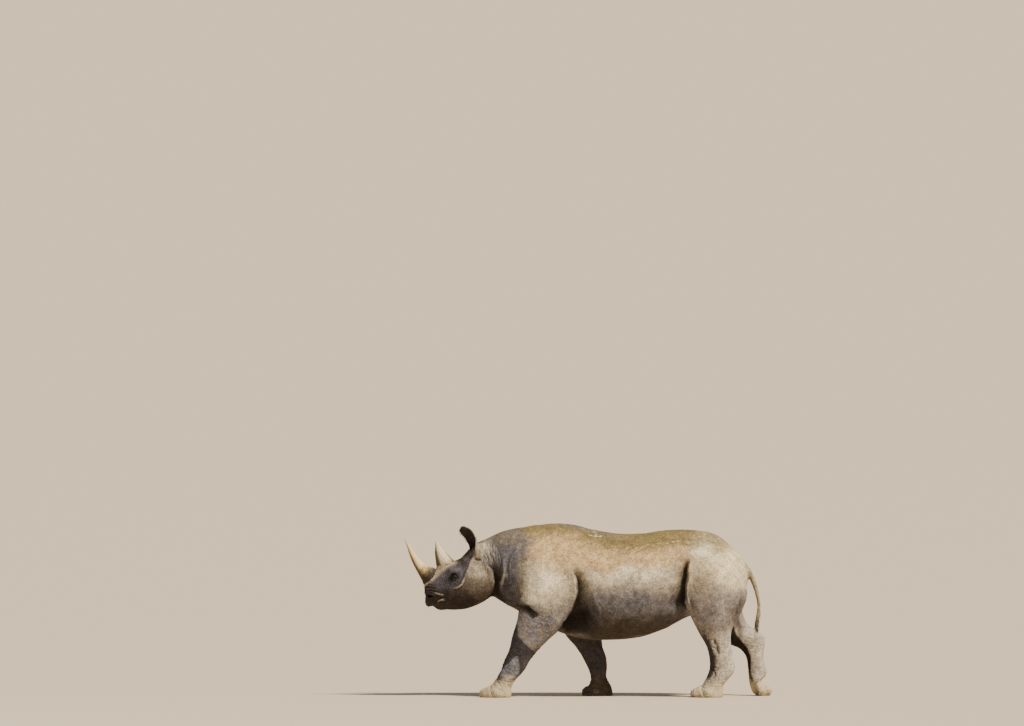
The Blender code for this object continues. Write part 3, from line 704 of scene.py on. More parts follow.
# The hide's colours, as red, green and blue from 0 to 255
GREY = (115, 107, 103)
OLIVE = (126, 108, 68)
TAN = (197, 165, 119)
BEIGE = (196, 179, 150)
PALE = (206, 189, 154)
CHALK = (222, 208, 180)
VIOLET_GREY = (105, 98, 100)
SLATE = (84, 78, 78)
UMBER = (66, 57, 49)
# a dark brown for painted shade, and for the muzzle's own dark skin
DARK_SKIN_AND_SHADE = (51, 44, 41)
SHADE = (33, 27, 23)
DUSTY = (180, 162, 130)
NAPE = ((-1.150, 0.780), (-1.020, 0.850), (-0.945, 0.900), *STEPS["cheek"][0][1:], (-0.985, 1.300),
        (-0.975, 1.380), (-0.940, 1.500))  # where the head ends, in the side view
# How strong the painted shade under each step is
UNDER_STEPS = {"triceps": 0.85, "flank": 0.95, "chest": 0.75, "cheek": 0.6, "buttock": 0.5}
# The lower edge of the dust on the nose and brow, also painted light for their sunlit top, in the side
# view
BRIDGE = ((-1.460, 1.040), (-1.418, 1.072), (-1.337, 1.146), (-1.264, 1.206), (-1.190, 1.238),
          (-1.140, 1.262), (-1.050, 1.330))
# The near foreleg: the edge of the painted shade on its lower part, and a sunlit patch above its foot,
# painted pale inside that shade
FOREARM = ((-0.640, 0.780), (-0.651, 0.693), (-0.640, 0.591), (-0.569, 0.488), (-0.466, 0.415),
           (-0.340, 0.370))
SHIN = ((-0.812, 0.194), (-0.720, 0.170), (-0.640, 0.185), (-0.622, 0.263), (-0.630, 0.325),
        (-0.651, 0.385), (-0.722, 0.326), (-0.774, 0.285), (-0.812, 0.194))
# The trailing hind leg: ahead of this line its inner side is painted in shade
SHANK = ((1.565, 0.115), (1.535, 0.161), (1.515, 0.230), (1.515, 0.307), (1.503, 0.384), (1.473, 0.445),
         (1.420, 0.515), (1.374, 0.577), (1.358, 0.646))


def linear(colour):
    """A 0 to 255 colour in the linear values that a shader takes."""
    share = np.array(colour, float) / 255
    return np.where(share > 0.04045, ((share + 0.055) / 1.055) ** 2.4, share / 12.92)


class Hide:
    """Places on the hide, and the tone painted there so far: what the animal rolled in
    over its grey skin, with painted shade and painted highlights laid on it."""

    def __init__(self, where, out):
        self.where, self.out = where, out
        self.warp = [
            0.11 * (noise(where, 0.22, seed) - 0.5) + 0.05 * (noise(where, 0.07, seed + 1) - 0.5)
            for seed in (20, 22)
        ]
        # the side view's own places, shifted a little so that no patch has a clean edge
        self.at = where[:, 0] - SHIFT + self.warp[0], where[:, 1], where[:, 2] + self.warp[1]
        self.tone = np.tile(linear(GREY), (len(where), 1))

    def paint(self, colour, much):
        """Lays a colour over the tone, by a share for each place."""
        self.tone += (linear(colour) - self.tone) * np.clip(much, 0, 1)[:, None]

    def patch(self, x, z, reach_x, reach_z):
        """1 about one point of the side view, falling away to nearly 0 at twice its reach."""
        return bell((self.at[0] - x) / reach_x) * bell((self.at[2] - z) / reach_z)

    def left_of(self, path):
        """How far each place lies to the left of a path in the side view."""
        return beside(self.where, curved(path))[0]

    def along(self, name, width, first, last):
        """1 along a fold, falling away beside it and towards its ends."""
        gap, share = beside(self.where, curved(FOLDS[name][0]))
        return bell(gap / width) * ramp(share, 0, first) * ramp(share, 1, last)


def paint_trunk(hide):
    """Pale dust on sides, shoulder and rump, olive on the back and dark below. Returns
    how much each place is on top."""
    paint, patch, (x, y, z), up = hide.paint, hide.patch, hide.at, hide.out[:, 2]
    trunk = ramp(x, -0.86, -0.58)
    paint(SLATE, ramp(z, 0.96, 0.74) * trunk * 0.7)
    paint(UMBER, ramp(z, 0.78, 0.64) * trunk * ramp(x, 1.0, 0.85) * ramp(z, 0.45, 0.52))
    paint(BEIGE, ramp(z, 0.88, 1.12) * ramp(x, -0.30, -0.10) * 0.95)
    paint(TAN, ramp(z, 1.13, 1.24) * ramp(x, -0.62, -0.40) * ramp(x, 1.05, 0.85))
    paint(GREY, patch(0.82, 1.20, 0.10, 0.10) * 0.45)
    paint(GREY, patch(-0.12, 1.14, 0.10, 0.05) * 0.5)
    paint(BEIGE, ramp(y, 0.0, 0.1) * ramp(z, 1.0, 1.2) * trunk * 0.45)
    paint(CHALK, patch(0.36, 1.14, 0.30, 0.07) * 0.55)
    paint((100, 97, 102), patch(0.40, 0.88, 0.34, 0.10) * 0.55)
    top = ramp(up, 0.40, 0.75) * trunk
    paint(OLIVE, top * ramp(z, 1.2, 1.3))
    paint(VIOLET_GREY, ramp(up, 0.75, 0.95) * ramp(x, -0.45, -0.15) * ramp(x, 0.50, 0.05) * 0.45)
    paint(PALE, patch(-0.40, 1.02, 0.22, 0.22) * 1.15)
    paint(CHALK, patch(-0.42, 1.08, 0.13, 0.13) * 0.85)
    paint(TAN, patch(-0.34, 1.25, 0.16, 0.12) * 0.7)
    paint(BEIGE, ramp(x, 0.84, 1.10) * ramp(z, 1.00, 1.25) * 0.75)
    paint(PALE, patch(1.14, 1.25, 0.22, 0.14) * 0.8)
    paint((230, 210, 168), patch(1.26, 1.24, 0.17, 0.14))
    paint(CHALK, patch(1.04, 1.33, 0.10, 0.06) * 0.6)
    paint(OLIVE, ramp(up, 0.45, 0.75) * ramp(x, 0.70, 0.80) * ramp(z, 1.3, 1.38) * 0.7)
    return top


def paint_neck(hide, head):
    """Grey wrinkled neck, darker lower down, with painted shadow from the head's rear edge
    in its hollow, painted shade under the head and a painted highlight on its ridge.
    """
    paint, patch, (x, y, z) = hide.paint, hide.patch, hide.at
    neck = (1 - head) * ramp(x, -0.52, -0.78)
    paint((98, 95, 98), neck * ramp(z, 1.05, 1.2))
    paint((112, 98, 76), neck * ramp(z, 1.36, 1.46) * 0.7)
    paint((190, 174, 146), patch(-0.955, 1.37, 0.055, 0.09) * 0.9)
    paint((146, 136, 126), patch(-0.90, 1.26, 0.05, 0.09) * 0.8)
    paint((78, 73, 74), neck * ramp(z, 1.22, 1.06))
    # painted shade on the lower neck under the head
    paint(DARK_SKIN_AND_SHADE, neck * ramp(z, 1.14, 0.98) * ramp(x, -0.68, -0.80) * 0.9)
    paint((74, 70, 74), patch(-0.70, 1.02, 0.09, 0.18) * 1.2)
    # painted shadow that the head's rear edge casts into the neck's hollow
    paint(SHADE, patch(-0.825, 1.02, 0.055, 0.16) * 1.1)
    # painted highlight on the sunlit ridge of the neck, near side only
    paint((168, 159, 146), patch(-0.775, 1.10, 0.018, 0.09) * (y < 0) * 0.9)


def paint_hind_legs(hide):
    """Bruised grey thighs and paler shins, with painted shade on the forward-facing sides of
    both legs, on the near thigh's rear edge and on the trailing leg's inner side.
    """
    paint, patch, (x, y, z) = hide.paint, hide.patch, hide.at
    thigh = ramp(x, 0.88, 0.98) * ramp(z, 1.10, 0.85)
    paint((144, 133, 123), thigh)
    paint((150, 140, 132), patch(1.17, 0.73, 0.12, 0.09) * 0.9)
    paint((140, 124, 100), patch(1.03, 1.06, 0.12, 0.12) * 0.9)
    bruise = patch(1.12, 0.78, 0.14, 0.10) * (1.1 * noise(hide.where, 0.05, 25))
    paint(VIOLET_GREY, thigh * bruise)
    paint((180, 168, 151), thigh * ramp(z, 0.66, 0.54))
    # painted shade along the near thigh's rear edge
    paint((104, 93, 84), patch(1.38, 0.78, 0.06, 0.16) * (y < 0) * 0.8)
    # painted shade on the sides of the hind legs that face forward, away from the light
    front = ramp(hide.out[:, 0], 0.0, -0.6) * np.where(y < 0, 1, ramp(x, 1.50, 1.42))
    paint((64, 58, 56), thigh * front * ramp(z, 0.70, 0.55) * ramp(z, 0.12, 0.22))
    # painted shade on the trailing far leg's inner side, ahead of its line
    shaded = (y > 0) * ramp(x, 1.20, 1.28) * ramp(hide.out[:, 1], 0.4, 0.0) * ramp(z, 0.72, 0.66)
    paint((40, 33, 28), shaded * ramp(hide.left_of(SHANK) + 0.15 * hide.warp[0], -0.006, 0.010))


def paint_forelegs(hide):
    """Mottled grey forelegs, their lower parts painted in shade but for a sunlit patch on the
    near shin, with painted shade under the chest fold.
    """
    paint, patch, (x, y, z) = hide.paint, hide.patch, hide.at
    fore = ramp(z, 0.86, 0.68) * ramp(x, 0.04, -0.12)
    fore = np.maximum(fore, ramp(z, 0.58, 0.48) * ramp(x, 0.6, 0.4))
    paint((120, 114, 115), fore)
    paint((140, 126, 108), fore * ramp(noise(hide.where, 0.055, 26), 0.50, 0.68) * 0.7)
    near = (y < 0) * ramp(x, -0.2, -0.3)
    # painted shade on the lower far foreleg
    paint((66, 61, 62), fore * (1 - near) * ramp(z, 0.60, 0.48))
    # painted shade on the near foreleg beyond its lit upper part
    below = ramp(hide.left_of(FOREARM) + 0.2 * hide.warp[0], 0.012, -0.012)
    paint((61, 57, 59), fore * near * below)
    # the sunlit patch on the near shin, painted pale again
    shin = ramp(hide.left_of(SHIN) + 0.2 * hide.warp[0], -0.006, 0.012)
    paint((119, 116, 122), fore * near * shin)
    # painted shade under the chest fold
    paint((56, 51, 51), patch(-0.56, 0.80, 0.075, 0.045) * near * ramp(z, 0.86, 0.82))
    paint(SLATE, fore * ramp(hide.out[:, 0], 0.2, 0.7) * ramp(z, 0.45, 0.35) * 0.8)


def paint_under_steps(hide):
    """Painted shade in the armpit and under each step of the hide, where the mass above shades it."""
    height, y = hide.where[:, 2], hide.where[:, 1]
    behind_arm = ramp(hide.left_of(STEPS["triceps"][0]), 0.004, -0.004)
    armpit = hide.patch(-0.13, 0.70, 0.16, 0.13) * (y < 0) * behind_arm
    hide.paint(SHADE, armpit * ramp(height, 0.56, 0.60) * 1.7)
    for name, much in UNDER_STEPS.items():
        path, _, _, width, over, under, sides = STEPS[name]
        _, under_it = overlap(hide.where, path, width, over, under)
        there = np.isin(np.sign(y), sides) * ramp(np.abs(hide.out[:, 1]), 0.1, 0.4)
        hide.paint(SHADE, much * under_it * there)


def paint_head(hide, head):
    """Brown-grey cheeks with painted shade towards the jaw, a dark face and muzzle of dark skin
    and painted shade, painted highlights on the nose and lip folds and the pouch below the eye,
    and dust on nose and brow that also stands for their sunlit top. Returns how much each place
    lies round the eye, where dark lids and the brow's painted shadow make it darkest."""
    paint, patch, (x, _, z) = hide.paint, hide.patch, hide.at
    paint((118, 107, 93), head)
    paint((166, 152, 131), head * patch(-1.01, 1.19, 0.09, 0.09))
    # painted shade: the head darkens towards the jaw
    paint((84, 74, 62), head * ramp(z, 1.16, 0.98) * 0.9)
    behind = hide.left_of(STEPS["face"][0][:6]) + 0.25 * hide.warp[1]
    ahead = ramp(behind, 0.006, -0.012) * ramp(hide.where[:, 0] - SHIFT, -1.02, -1.06)
    # the face ahead of the step: dark skin and painted shade, as it faces away from the light
    paint((84, 79, 84), head * ahead)
    # painted shade on the lower cheek and jaw
    paint((60, 54, 54), head * ramp(z + 0.35 * (x + 1.2), 1.02, 0.88))
    paint(DARK_SKIN_AND_SHADE, head * ramp(z + 0.15 * (x + 1.2), 1.02, 0.90) * ramp(x, -0.98, -1.1))
    # the muzzle: dark skin and painted shade
    paint(DARK_SKIN_AND_SHADE, head * ramp(x, -1.34, -1.43) * ramp(z, 1.05, 0.98) * 0.85)
    # dust on the nose and brow, painted paler also for their sunlit top: dust and painted light
    bridge = ramp(hide.left_of(BRIDGE) + 0.3 * hide.warp[0], -0.016, 0.020)
    paint((180, 162, 132), head * bridge * ramp(z, 1.31, 1.22) * 0.9)
    # painted shade in the temple hollow ahead of the cheek's ledge
    paint((62, 54, 49), head * patch(-1.13, 1.22, 0.06, 0.05) * ahead)
    # dark lids and the brow's painted shadow round the eye
    eye = patch(-1.220, 1.092, 0.050, 0.032)
    paint((20, 16, 15), eye * 1.8)
    paint(SHADE, hide.along("ear_crease", 0.015, 0.4, 0.6) * ramp(z, 1.0, 1.1) * 0.8)
    # painted highlights on the raised folds of nose and lip, and on the pouch below the eye
    for name in ("nose_fold", "lip_roll"):
        paint((122, 111, 98), head * hide.along(name, 0.007, 0.2, 0.7) * 0.8)
    paint((166, 150, 128), head * hide.along("below_eye", 0.007, 0.4, 0.7))
    return eye


def paint_feet_and_tail(hide):
    """Sand on every foot but the far fore one, which is painted dark as in shade, and a pale
    tail, darker at its brush. Returns what is foot, and what belongs to the far foreleg."""
    x, y, height = hide.where.T
    z = hide.at[2]
    foot = ramp(z, 0.20, 0.10)
    far_fore = (y > 0) * ramp(x, 0.5, 0.4)
    hide.paint((196, 178, 144), foot * (1 - far_fore) * 0.95)
    # painted shade: the far forefoot dark instead of sandy
    hide.paint((84, 72, 60), foot * far_fore)
    hide.paint((120, 105, 84), foot * ramp(height, 0.030, 0.008) * 0.7)
    tail = ramp(x, 1.43, 1.46) * ramp(z, 0.50, 0.60) * ramp(np.abs(y), 0.07, 0.05)
    hide.paint((156, 142, 112), tail * ramp(x, 1.40, 1.50))
    hide.paint((92, 82, 68), tail * ramp(z, 0.80, 0.68))
    return foot, far_fore


def paint_ears(hide):
    """Dusty backs to the ears, with dark hollows, tips, front rims and roots."""
    height = hide.where[:, 2]
    ear_line = [(x + SHIFT, side * y, z) for x, y, z, _, _ in EAR[2:] for side in BOTH]
    ear = ramp(gap_to(hide.where, np.array(ear_line)), 0.085, 0.070) * ramp(hide.at[2], 1.31, 1.36)
    hide.paint((150, 137, 118), ear)
    hide.paint((46, 38, 33), ear * in_ear(hide.where) * 0.95)
    hide.paint((54, 45, 39), ear * ramp(height, 1.46, 1.53) * 0.9)
    front_rim = ramp(hide.left_of([(x, z) for x, _, z, _, _ in EAR[2:]]), 0.004, 0.014)
    hide.paint((50, 42, 37), ear * front_rim * ramp(height, 1.34, 1.38))
    hide.paint((50, 42, 38), hide.patch(-1.062, 1.345, 0.030, 0.045) * 1.2)


def tones(where, out, hollow):
    """The hide's colour at these places, with its painted shade and painted highlights, how dusty
    each one is, and how damp. Hollow is 1 in creases, -1 on ridges."""
    hide = Hide(where, out)
    x, _, z = hide.at
    top = paint_trunk(hide)
    head = ramp(hide.left_of(NAPE) + 0.2 * hide.warp[0], -0.010, 0.010) * ramp(where[:, 0], -0.70, -0.80)
    paint_neck(hide, head)
    paint_hind_legs(hide)
    paint_forelegs(hide)
    paint_under_steps(hide)
    eye = paint_head(hide, head)
    foot, far_fore = paint_feet_and_tail(hide)
    paint_ears(hide)
    # little dust on the far foreleg, so that its painted shade stays dark, and none round the eye
    dust = 0.25 + 0.25 * ramp(out[:, 2], -0.2, 0.7) - 0.20 * ramp(z, 0.9, 0.6) - 0.30 * top
    dust = np.maximum(dust, 0.9 * foot) * (1 - 0.6 * head) * (1 - 0.8 * far_fore) * (1 - eye)
    damp = np.maximum(
        ramp(gap_to(where, EYES.values()), EYE_RADIUS + 0.008, EYE_RADIUS + 0.001),
        ramp(gap_to(where, [nostril_middle(side) for side in BOTH]), 0.035, 0.012),
    )
    hide.paint((38, 31, 29), damp * 0.9)
    # painted highlights on ridges, strongest on the muzzle, and painted shade in creases
    muzzle = ramp(x, -1.22, -1.32) * ramp(z, 1.10, 1.02)
    ridge_light_crease_shade = 1 + (0.13 + 0.45 * muzzle) * ramp(hollow, 0, -1) - 0.40 * ramp(hollow, 0, 1)
    return hide.tone * ridge_light_crease_shade[:, None], dust * (1 - 0.7 * ramp(hollow, 0, 0.8)), damp


# Old scratches on the rump and back, as x, z points
SCRATCHES = (
    ((0.60, 1.470), (0.64, 1.505), (0.69, 1.530)),
    ((0.68, 1.395), (0.76, 1.425), (0.86, 1.436)),
    ((0.93, 1.510), (0.99, 1.480), (1.06, 1.462)),
    ((1.02, 1.540), (1.06, 1.515), (1.09, 1.485)),
    ((1.13, 1.400), (1.18, 1.390), (1.23, 1.350)),
    ((0.03, 1.540), (0.07, 1.505), (0.09, 1.470)),
    ((0.10, 1.530), (0.13, 1.500)),
    ((-0.02, 1.500), (0.06, 1.480), (0.15, 1.478)),
    ((1.20, 1.290), (1.24, 1.240), (1.25, 1.190)),
    ((0.98, 1.375), (1.05, 1.365), (1.10, 1.345)),
)
SCRATCH = 0.013  # half width of a scratch


def scratches(where, out):
    """1 on a scratch, falling to 0 beside it. They are on the left side only."""
    found = np.zeros(len(where))
    for path in SCRATCHES:
        gap, share = beside(where, curved(path))
        fade = ramp(share, 0, 0.15) * ramp(share, 1, 0.85)
        found = np.maximum(found, fade * np.clip(1 - np.abs(gap) / SCRATCH, 0, 1))
    return found * ramp(out[:, 1], -0.25, -0.45)


def hollows(mesh):
    """How deep each point lies among its neighbours: 1 in creases, -1 on ridges."""
    before, out = places(mesh), facing(mesh)
    relaxed(mesh, 0.6, 10)
    depth = np.einsum("ij,ij->i", places(mesh) - before, out)
    move(mesh, before)
    return np.clip(depth / 0.0016, -1, 1)


def remember(mesh, name, values):
    """Keeps a number or a colour for each point of the mesh, for its material."""
    values = np.asarray(values, np.float32)
    if values.ndim == 2:
        kept = mesh.attributes.new(name, "FLOAT_COLOR", "POINT")
        kept.data.foreach_set("color", np.column_stack([values, np.ones(len(values))]).ravel())
    else:
        mesh.attributes.new(name, "FLOAT", "POINT").data.foreach_set("value", values)


def put(tree, kind, inputs=None, **settings):
    """A node in the tree, its inputs set to values or joined to other nodes' outputs."""
    made = tree.nodes.new(kind)
    for setting, value in settings.items():
        setattr(made, setting, value)
    for socket, value in (inputs or {}).items():
        if isinstance(value, bpy.types.NodeSocket):
            tree.links.new(value, made.inputs[socket])
        else:
            made.inputs[socket].default_value = value
    return made


def calculate(tree, operation, one, two):
    """One sum of two numbers or outputs."""
    return put(tree, "ShaderNodeMath", {0: one, 1: two}, operation=operation).outputs[0]


def mottled(tree, place, scale, detail, roughness=0.5):
    """Cloudy noise, finer as the scale is larger."""
    inputs = {"Vector": place, "Scale": scale, "Detail": detail, "Roughness": roughness}
    return put(tree, "ShaderNodeTexNoise", inputs).outputs["Fac"]


def between(tree, value, low, high, to_low=0.0, to_high=1.0):
    """The value from low to high, smoothly stretched over the new range."""
    limits = {"From Min": low, "From Max": high, "To Min": to_low, "To Max": to_high}
    stretch = put(tree, "ShaderNodeMapRange", {"Value": value, **limits}, interpolation_type="SMOOTHSTEP")
    return stretch.outputs["Result"]


def mixed(tree, share, one, two):
    """Two colours blended, by a share of the second."""
    made = put(tree, "ShaderNodeMix", data_type="RGBA")
    for socket, value in (("Factor_Float", share), ("A_Color", one), ("B_Color", two)):
        target = next(item for item in made.inputs if item.identifier == socket)
        if isinstance(value, bpy.types.NodeSocket):
            tree.links.new(value, target)
        elif socket == "Factor_Float":
            target.default_value = value
        else:
            target.default_value = (*linear(value), 1)
    return next(item for item in made.outputs if item.identifier == "Result_Color")


def effect(name, inputs, outputs):
    """An empty shader group with these sockets, its inputs and its output node."""
    tree = bpy.data.node_groups.new(name, "ShaderNodeTree")
    for socket, (kind, value) in inputs.items():
        made = tree.interface.new_socket(socket, in_out="INPUT", socket_type=kind)
        if value is not None:
            made.default_value = value
    for socket, kind in outputs.items():
        tree.interface.new_socket(socket, in_out="OUTPUT", socket_type=kind)
    return tree, put(tree, "NodeGroupInput").outputs, put(tree, "NodeGroupOutput").inputs


def placed(tree, group, inputs):
    """The outputs of an effect placed in a material, with its own values."""
    made = put(tree, "ShaderNodeGroup", node_tree=group)
    for socket, value in inputs.items():
        if isinstance(value, bpy.types.NodeSocket):
            tree.links.new(value, made.inputs[socket])
        else:
            made.inputs[socket].default_value = value
    return made.outputs


def recall(tree, name, output="Fac"):
    """What the mesh keeps for each of its points under this name."""
    return put(tree, "ShaderNodeAttribute", attribute_name=name).outputs[output]


NUMBER, COLOUR, VECTOR = "NodeSocketFloat", "NodeSocketColor", "NodeSocketVector"


def crackled():
    """Hide or keratin split into small cells: a height, and a mask of the cracks."""
    tree, given, made = effect(
        "crackle",
        {"Place": (VECTOR, None), "Cell": (NUMBER, 0.012), "Crack": (NUMBER, 0.12)},
        {"Height": NUMBER, "Cracks": NUMBER},
    )
    scale = calculate(tree, "DIVIDE", 1.0, given["Cell"])
    wander = put(tree, "ShaderNodeTexNoise", {"Vector": given["Place"], "Scale": scale, "Detail": 1.0})
    small = calculate(tree, "MULTIPLY", given["Cell"], 0.9)
    shift = put(tree, "ShaderNodeVectorMath", {0: wander.outputs["Color"]}, operation="SCALE")
    tree.links.new(small, shift.inputs["Scale"])
    bent = put(tree, "ShaderNodeVectorMath", {0: given["Place"], 1: shift.outputs[0]}, operation="ADD")
    inputs = {"Vector": bent.outputs[0], "Scale": scale}
    cells = put(tree, "ShaderNodeTexVoronoi", inputs, feature="DISTANCE_TO_EDGE")
    tree.links.new(between(tree, cells.outputs["Distance"], 0.0, 0.35), made["Height"])
    tree.links.new(between(tree, cells.outputs["Distance"], given["Crack"], 0.0), made["Cracks"])
    return tree


def dusted():
    """Dry dust lying on a surface in patches: the colour with the dust over it."""
    tree, given, made = effect(
        "dust",
        {"Place": (VECTOR, None), "Colour": (COLOUR, None), "Dust": (COLOUR, (*linear(DUSTY), 1)),
         "Amount": (NUMBER, 0.5), "Patch": (NUMBER, 0.05)},
        {"Colour": COLOUR, "Cover": NUMBER},
    )
    scale = calculate(tree, "DIVIDE", 1.0, given["Patch"])
    cloud = mottled(tree, given["Place"], scale, 6.0, 0.68)
    level = calculate(tree, "SUBTRACT", 1.02, given["Amount"])
    past = calculate(tree, "SUBTRACT", cloud, calculate(tree, "MULTIPLY", level, 0.72))
    cover = between(tree, past, 0.0, 0.28)
    tree.links.new(mixed(tree, cover, given["Colour"], given["Dust"]), made["Colour"])
    tree.links.new(cover, made["Cover"])
    return tree


CRACKLE, DUST = crackled(), dusted()


def surface(name, **values):
    """A new material, with the values that are the same all over it."""
    made = bpy.data.materials.new(name)
    made.use_nodes = True
    shader = made.node_tree.nodes["Principled BSDF"]
    for socket, value in values.items():
        shader.inputs[socket.replace("_", " ")].default_value = value
    return made, made.node_tree, shader.inputs


CRACK_DIRT = (38, 31, 27)
# The size of the hide's mottling, and how dark and how light it makes the hide
MOTTLES = ((0.110, 0.84, 1.14), (0.045, 0.78, 1.18), (0.016, 0.70, 1.26), (0.005, 0.76, 1.18))
# The hide's cells: their size, the share that is crack, how dark it is, how high the cell
CELLS = ((0.026, 0.06, 0.07, 0.8), (0.011, 0.10, 0.22, 0.9), (0.0045, 0.12, 0.16, 0.3))


def hide_finish():
    """Bare grey hide: mottled, cracked into small cells, scratched and dusty."""
    made, tree, shader = surface("hide", Specular_IOR_Level=0.16)
    place = put(tree, "ShaderNodeTexCoord").outputs["Object"]
    dust, damp, scratched = (recall(tree, name) for name in ("dust", "damp", "scratched"))
    colour = recall(tree, "tone", "Color")
    for size, low, high in MOTTLES:
        level = between(tree, mottled(tree, place, 1 / size, 3.0, 0.6), 0.30, 0.70, low, high)
        scaled = put(tree, "ShaderNodeVectorMath", {0: colour, "Scale": level}, operation="SCALE")
        colour = scaled.outputs[0]
    height = 0.0
    for size, crack, dark, high in CELLS:
        cell = placed(tree, CRACKLE, {"Place": place, "Cell": size, "Crack": crack})
        colour = mixed(tree, calculate(tree, "MULTIPLY", cell["Cracks"], dark), colour, CRACK_DIRT)
        height = calculate(tree, "ADD", height, calculate(tree, "MULTIPLY", cell["Height"], high))
    amount = calculate(tree, "MULTIPLY", dust, 0.62)
    dusty = placed(tree, DUST, {"Place": place, "Colour": colour, "Amount": amount, "Patch": 0.045})
    broken = between(tree, mottled(tree, place, 45.0, 3.0), 0.3, 0.7, -0.30, 0.12)
    scratch = between(tree, calculate(tree, "ADD", scratched, broken), 0.66, 0.84)
    colour = mixed(tree, calculate(tree, "MULTIPLY", scratch, 0.75), dusty["Colour"], CHALK)
    tree.links.new(colour, shader["Base Color"])
    tree.links.new(between(tree, damp, 0.0, 1.0, 0.86, 0.45), shader["Roughness"])
    bump = put(tree, "ShaderNodeBump", {"Height": height, "Strength": 0.8, "Distance": 0.0011})
    tree.links.new(bump.outputs["Normal"], shader["Normal"])
    return made


where, out = places(skin_mesh), facing(skin_mesh)
tone, dust, damp = tones(where, out, hollows(skin_mesh))
kept = {"tone": tone, "dust": dust, "damp": damp, "scratched": scratches(where, out)}
for name, values in kept.items():
    remember(skin_mesh, name, values)
skin = linked("skin", skin_mesh)
skin_mesh.shade_smooth()
skin_mesh.materials.clear()
skin_mesh.materials.append(hide_finish())
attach(skin, "root")
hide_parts(*FLESH, "ear_left", "ear_right")

# The skin's own unwrap: each stretch of the body, from each of six sides, laid
# flat in a place of its own. The hairs take their colours by it too.
CHART_MARGIN = 0.012  # bare room round each stretch


def charts(where, out):
    """The chart of each place: its stretch of the body, its side, and the way it faces."""
    x, y, z = where.T
    # head, fore and hind parts, then fore and hind legs, tail, and ears outside and in
    stretch = np.where(x < -0.95, 0, np.where(x < 0.35, 1, 2))
    stretch = np.where((z < 0.55) & (x < 0.5), 3, stretch)
    stretch = np.where((z < 0.62) & (x > 0.9), 4, stretch)
    stretch = np.where((x > 1.43) & (np.abs(y) < 0.07) & (z > 0.50), 5, stretch)
    centres = np.array([section[0] for side in BOTH for section in ear_line(side)[14:]])
    ear = (z > 1.28) & (x < -0.85)
    ear[ear] = gap_to(where[ear], centres) < 0.085
    stretch = np.where(ear, 6, stretch)
    hollow = np.zeros(len(where), int)
    hollow[ear] = in_ear(where[ear]) > 0.5
    way = np.abs(out).argmax(1)
    turned = out[np.arange(len(out)), way] < 0
    return (((stretch + hollow) * 2 + (y > 0)) * 3 + way) * 2 + turned


def laid_flat(where, chart):
    """The places in their chart's plane, in metres."""
    way = chart // 2 % 3
    across = np.where(way == 0, where[:, 1], where[:, 0])
    up = np.where(way == 2, where[:, 1], where[:, 2])
    return np.stack([across, up], 1)


def chart_places(flat, chart):
    """Packs the charts in rows. Returns each one's low corner and where that corner
    goes, and the length that becomes 1."""
    boxes = {}
    for one in np.unique(chart):
        part = flat[chart == one]
        boxes[one] = (part.min(0) - CHART_MARGIN, part.max(0) + CHART_MARGIN)
    order = sorted(boxes, key=lambda one: -(boxes[one][1] - boxes[one][0])[1])
    whole = sum(float(np.prod(high - low)) for low, high in boxes.values())
    width, made = 1.08 * math.sqrt(whole), {}
    at, row = np.zeros(2), 0.0
    for one in order:
        low, high = boxes[one]
        size = high - low
        if at[0] + size[0] > width and at[0] > 0:
            at, row = np.array([0.0, at[1] + row]), 0.0
        row = max(row, size[1])
        made[one] = (low, at.copy())
        at[0] += size[0]
    return made, max(width, at[1] + row) * 1.001


def on_map(where, chart, chart_of_skin):
    """Where the places lie on the skin's map, from 0 to 1."""
    made, whole = chart_of_skin
    low, at = np.empty((2, len(where), 2))
    for one in np.unique(chart):
        nearest = min(made, key=lambda other: abs(other - one))
        low[chart == one], at[chart == one] = made[nearest]
    return (laid_flat(where, chart) - low + at) / whole


def corners(mesh):
    """The point at each corner of each face."""
    return read(mesh.loops, "vertex_index", 1, np.int32)[:, 0]


def mapped(mesh, flat):
    """Gives the mesh its map for the colours, from each corner's place on it."""
    layer = mesh.uv_layers.new(name="OFBake")
    layer.uv.foreach_set("vector", np.asarray(flat, np.float32).ravel())


face_at = read(skin_mesh.polygons, "center", 3).astype(float)
face_out = read(skin_mesh.polygons, "normal", 3).astype(float)
corner_count = read(skin_mesh.polygons, "loop_total", 1, np.int32)[:, 0]
corner_chart = np.repeat(charts(face_at, face_out), corner_count)
corner_at = places(skin_mesh)[corners(skin_mesh)]
SKIN_MAP = chart_places(laid_flat(corner_at, corner_chart), corner_chart)
mapped(skin_mesh, on_map(corner_at, corner_chart, SKIN_MAP))

# ---- Horns ----
# Two horns of packed keratin fibres on the nose, with no bone in them. Each
# grows from the hide over a rough, frayed base, and is worn smooth to its tip,
# with painted shade down its front edge.

# From the root to the tip: x, z of the front edge, x, z of the back edge, half width
HORNS = {
    "horn_front": (
        (-1.487, 1.005, -1.340, 1.120, 0.078),
        (-1.503, 1.032, -1.372, 1.148, 0.083),
        (-1.530, 1.080, -1.416, 1.186, 0.076),
        (-1.556, 1.128, -1.476, 1.206, 0.058),
        (-1.600, 1.210, -1.528, 1.245, 0.040),
        (-1.636, 1.297, -1.582, 1.310, 0.027),
        (-1.667, 1.395, -1.640, 1.398, 0.013),
        (-1.689, 1.456, -1.682, 1.456, 0.004),
    ),
    "horn_rear": (
        (-1.362, 1.110, -1.190, 1.180, 0.080),
        (-1.374, 1.145, -1.205, 1.215, 0.078),
        (-1.388, 1.190, -1.232, 1.252, 0.070),
        (-1.398, 1.255, -1.278, 1.303, 0.054),
        (-1.404, 1.322, -1.328, 1.352, 0.036),
        (-1.402, 1.388, -1.364, 1.400, 0.018),
        (-1.397, 1.430, -1.389, 1.432, 0.005),
    ),
}
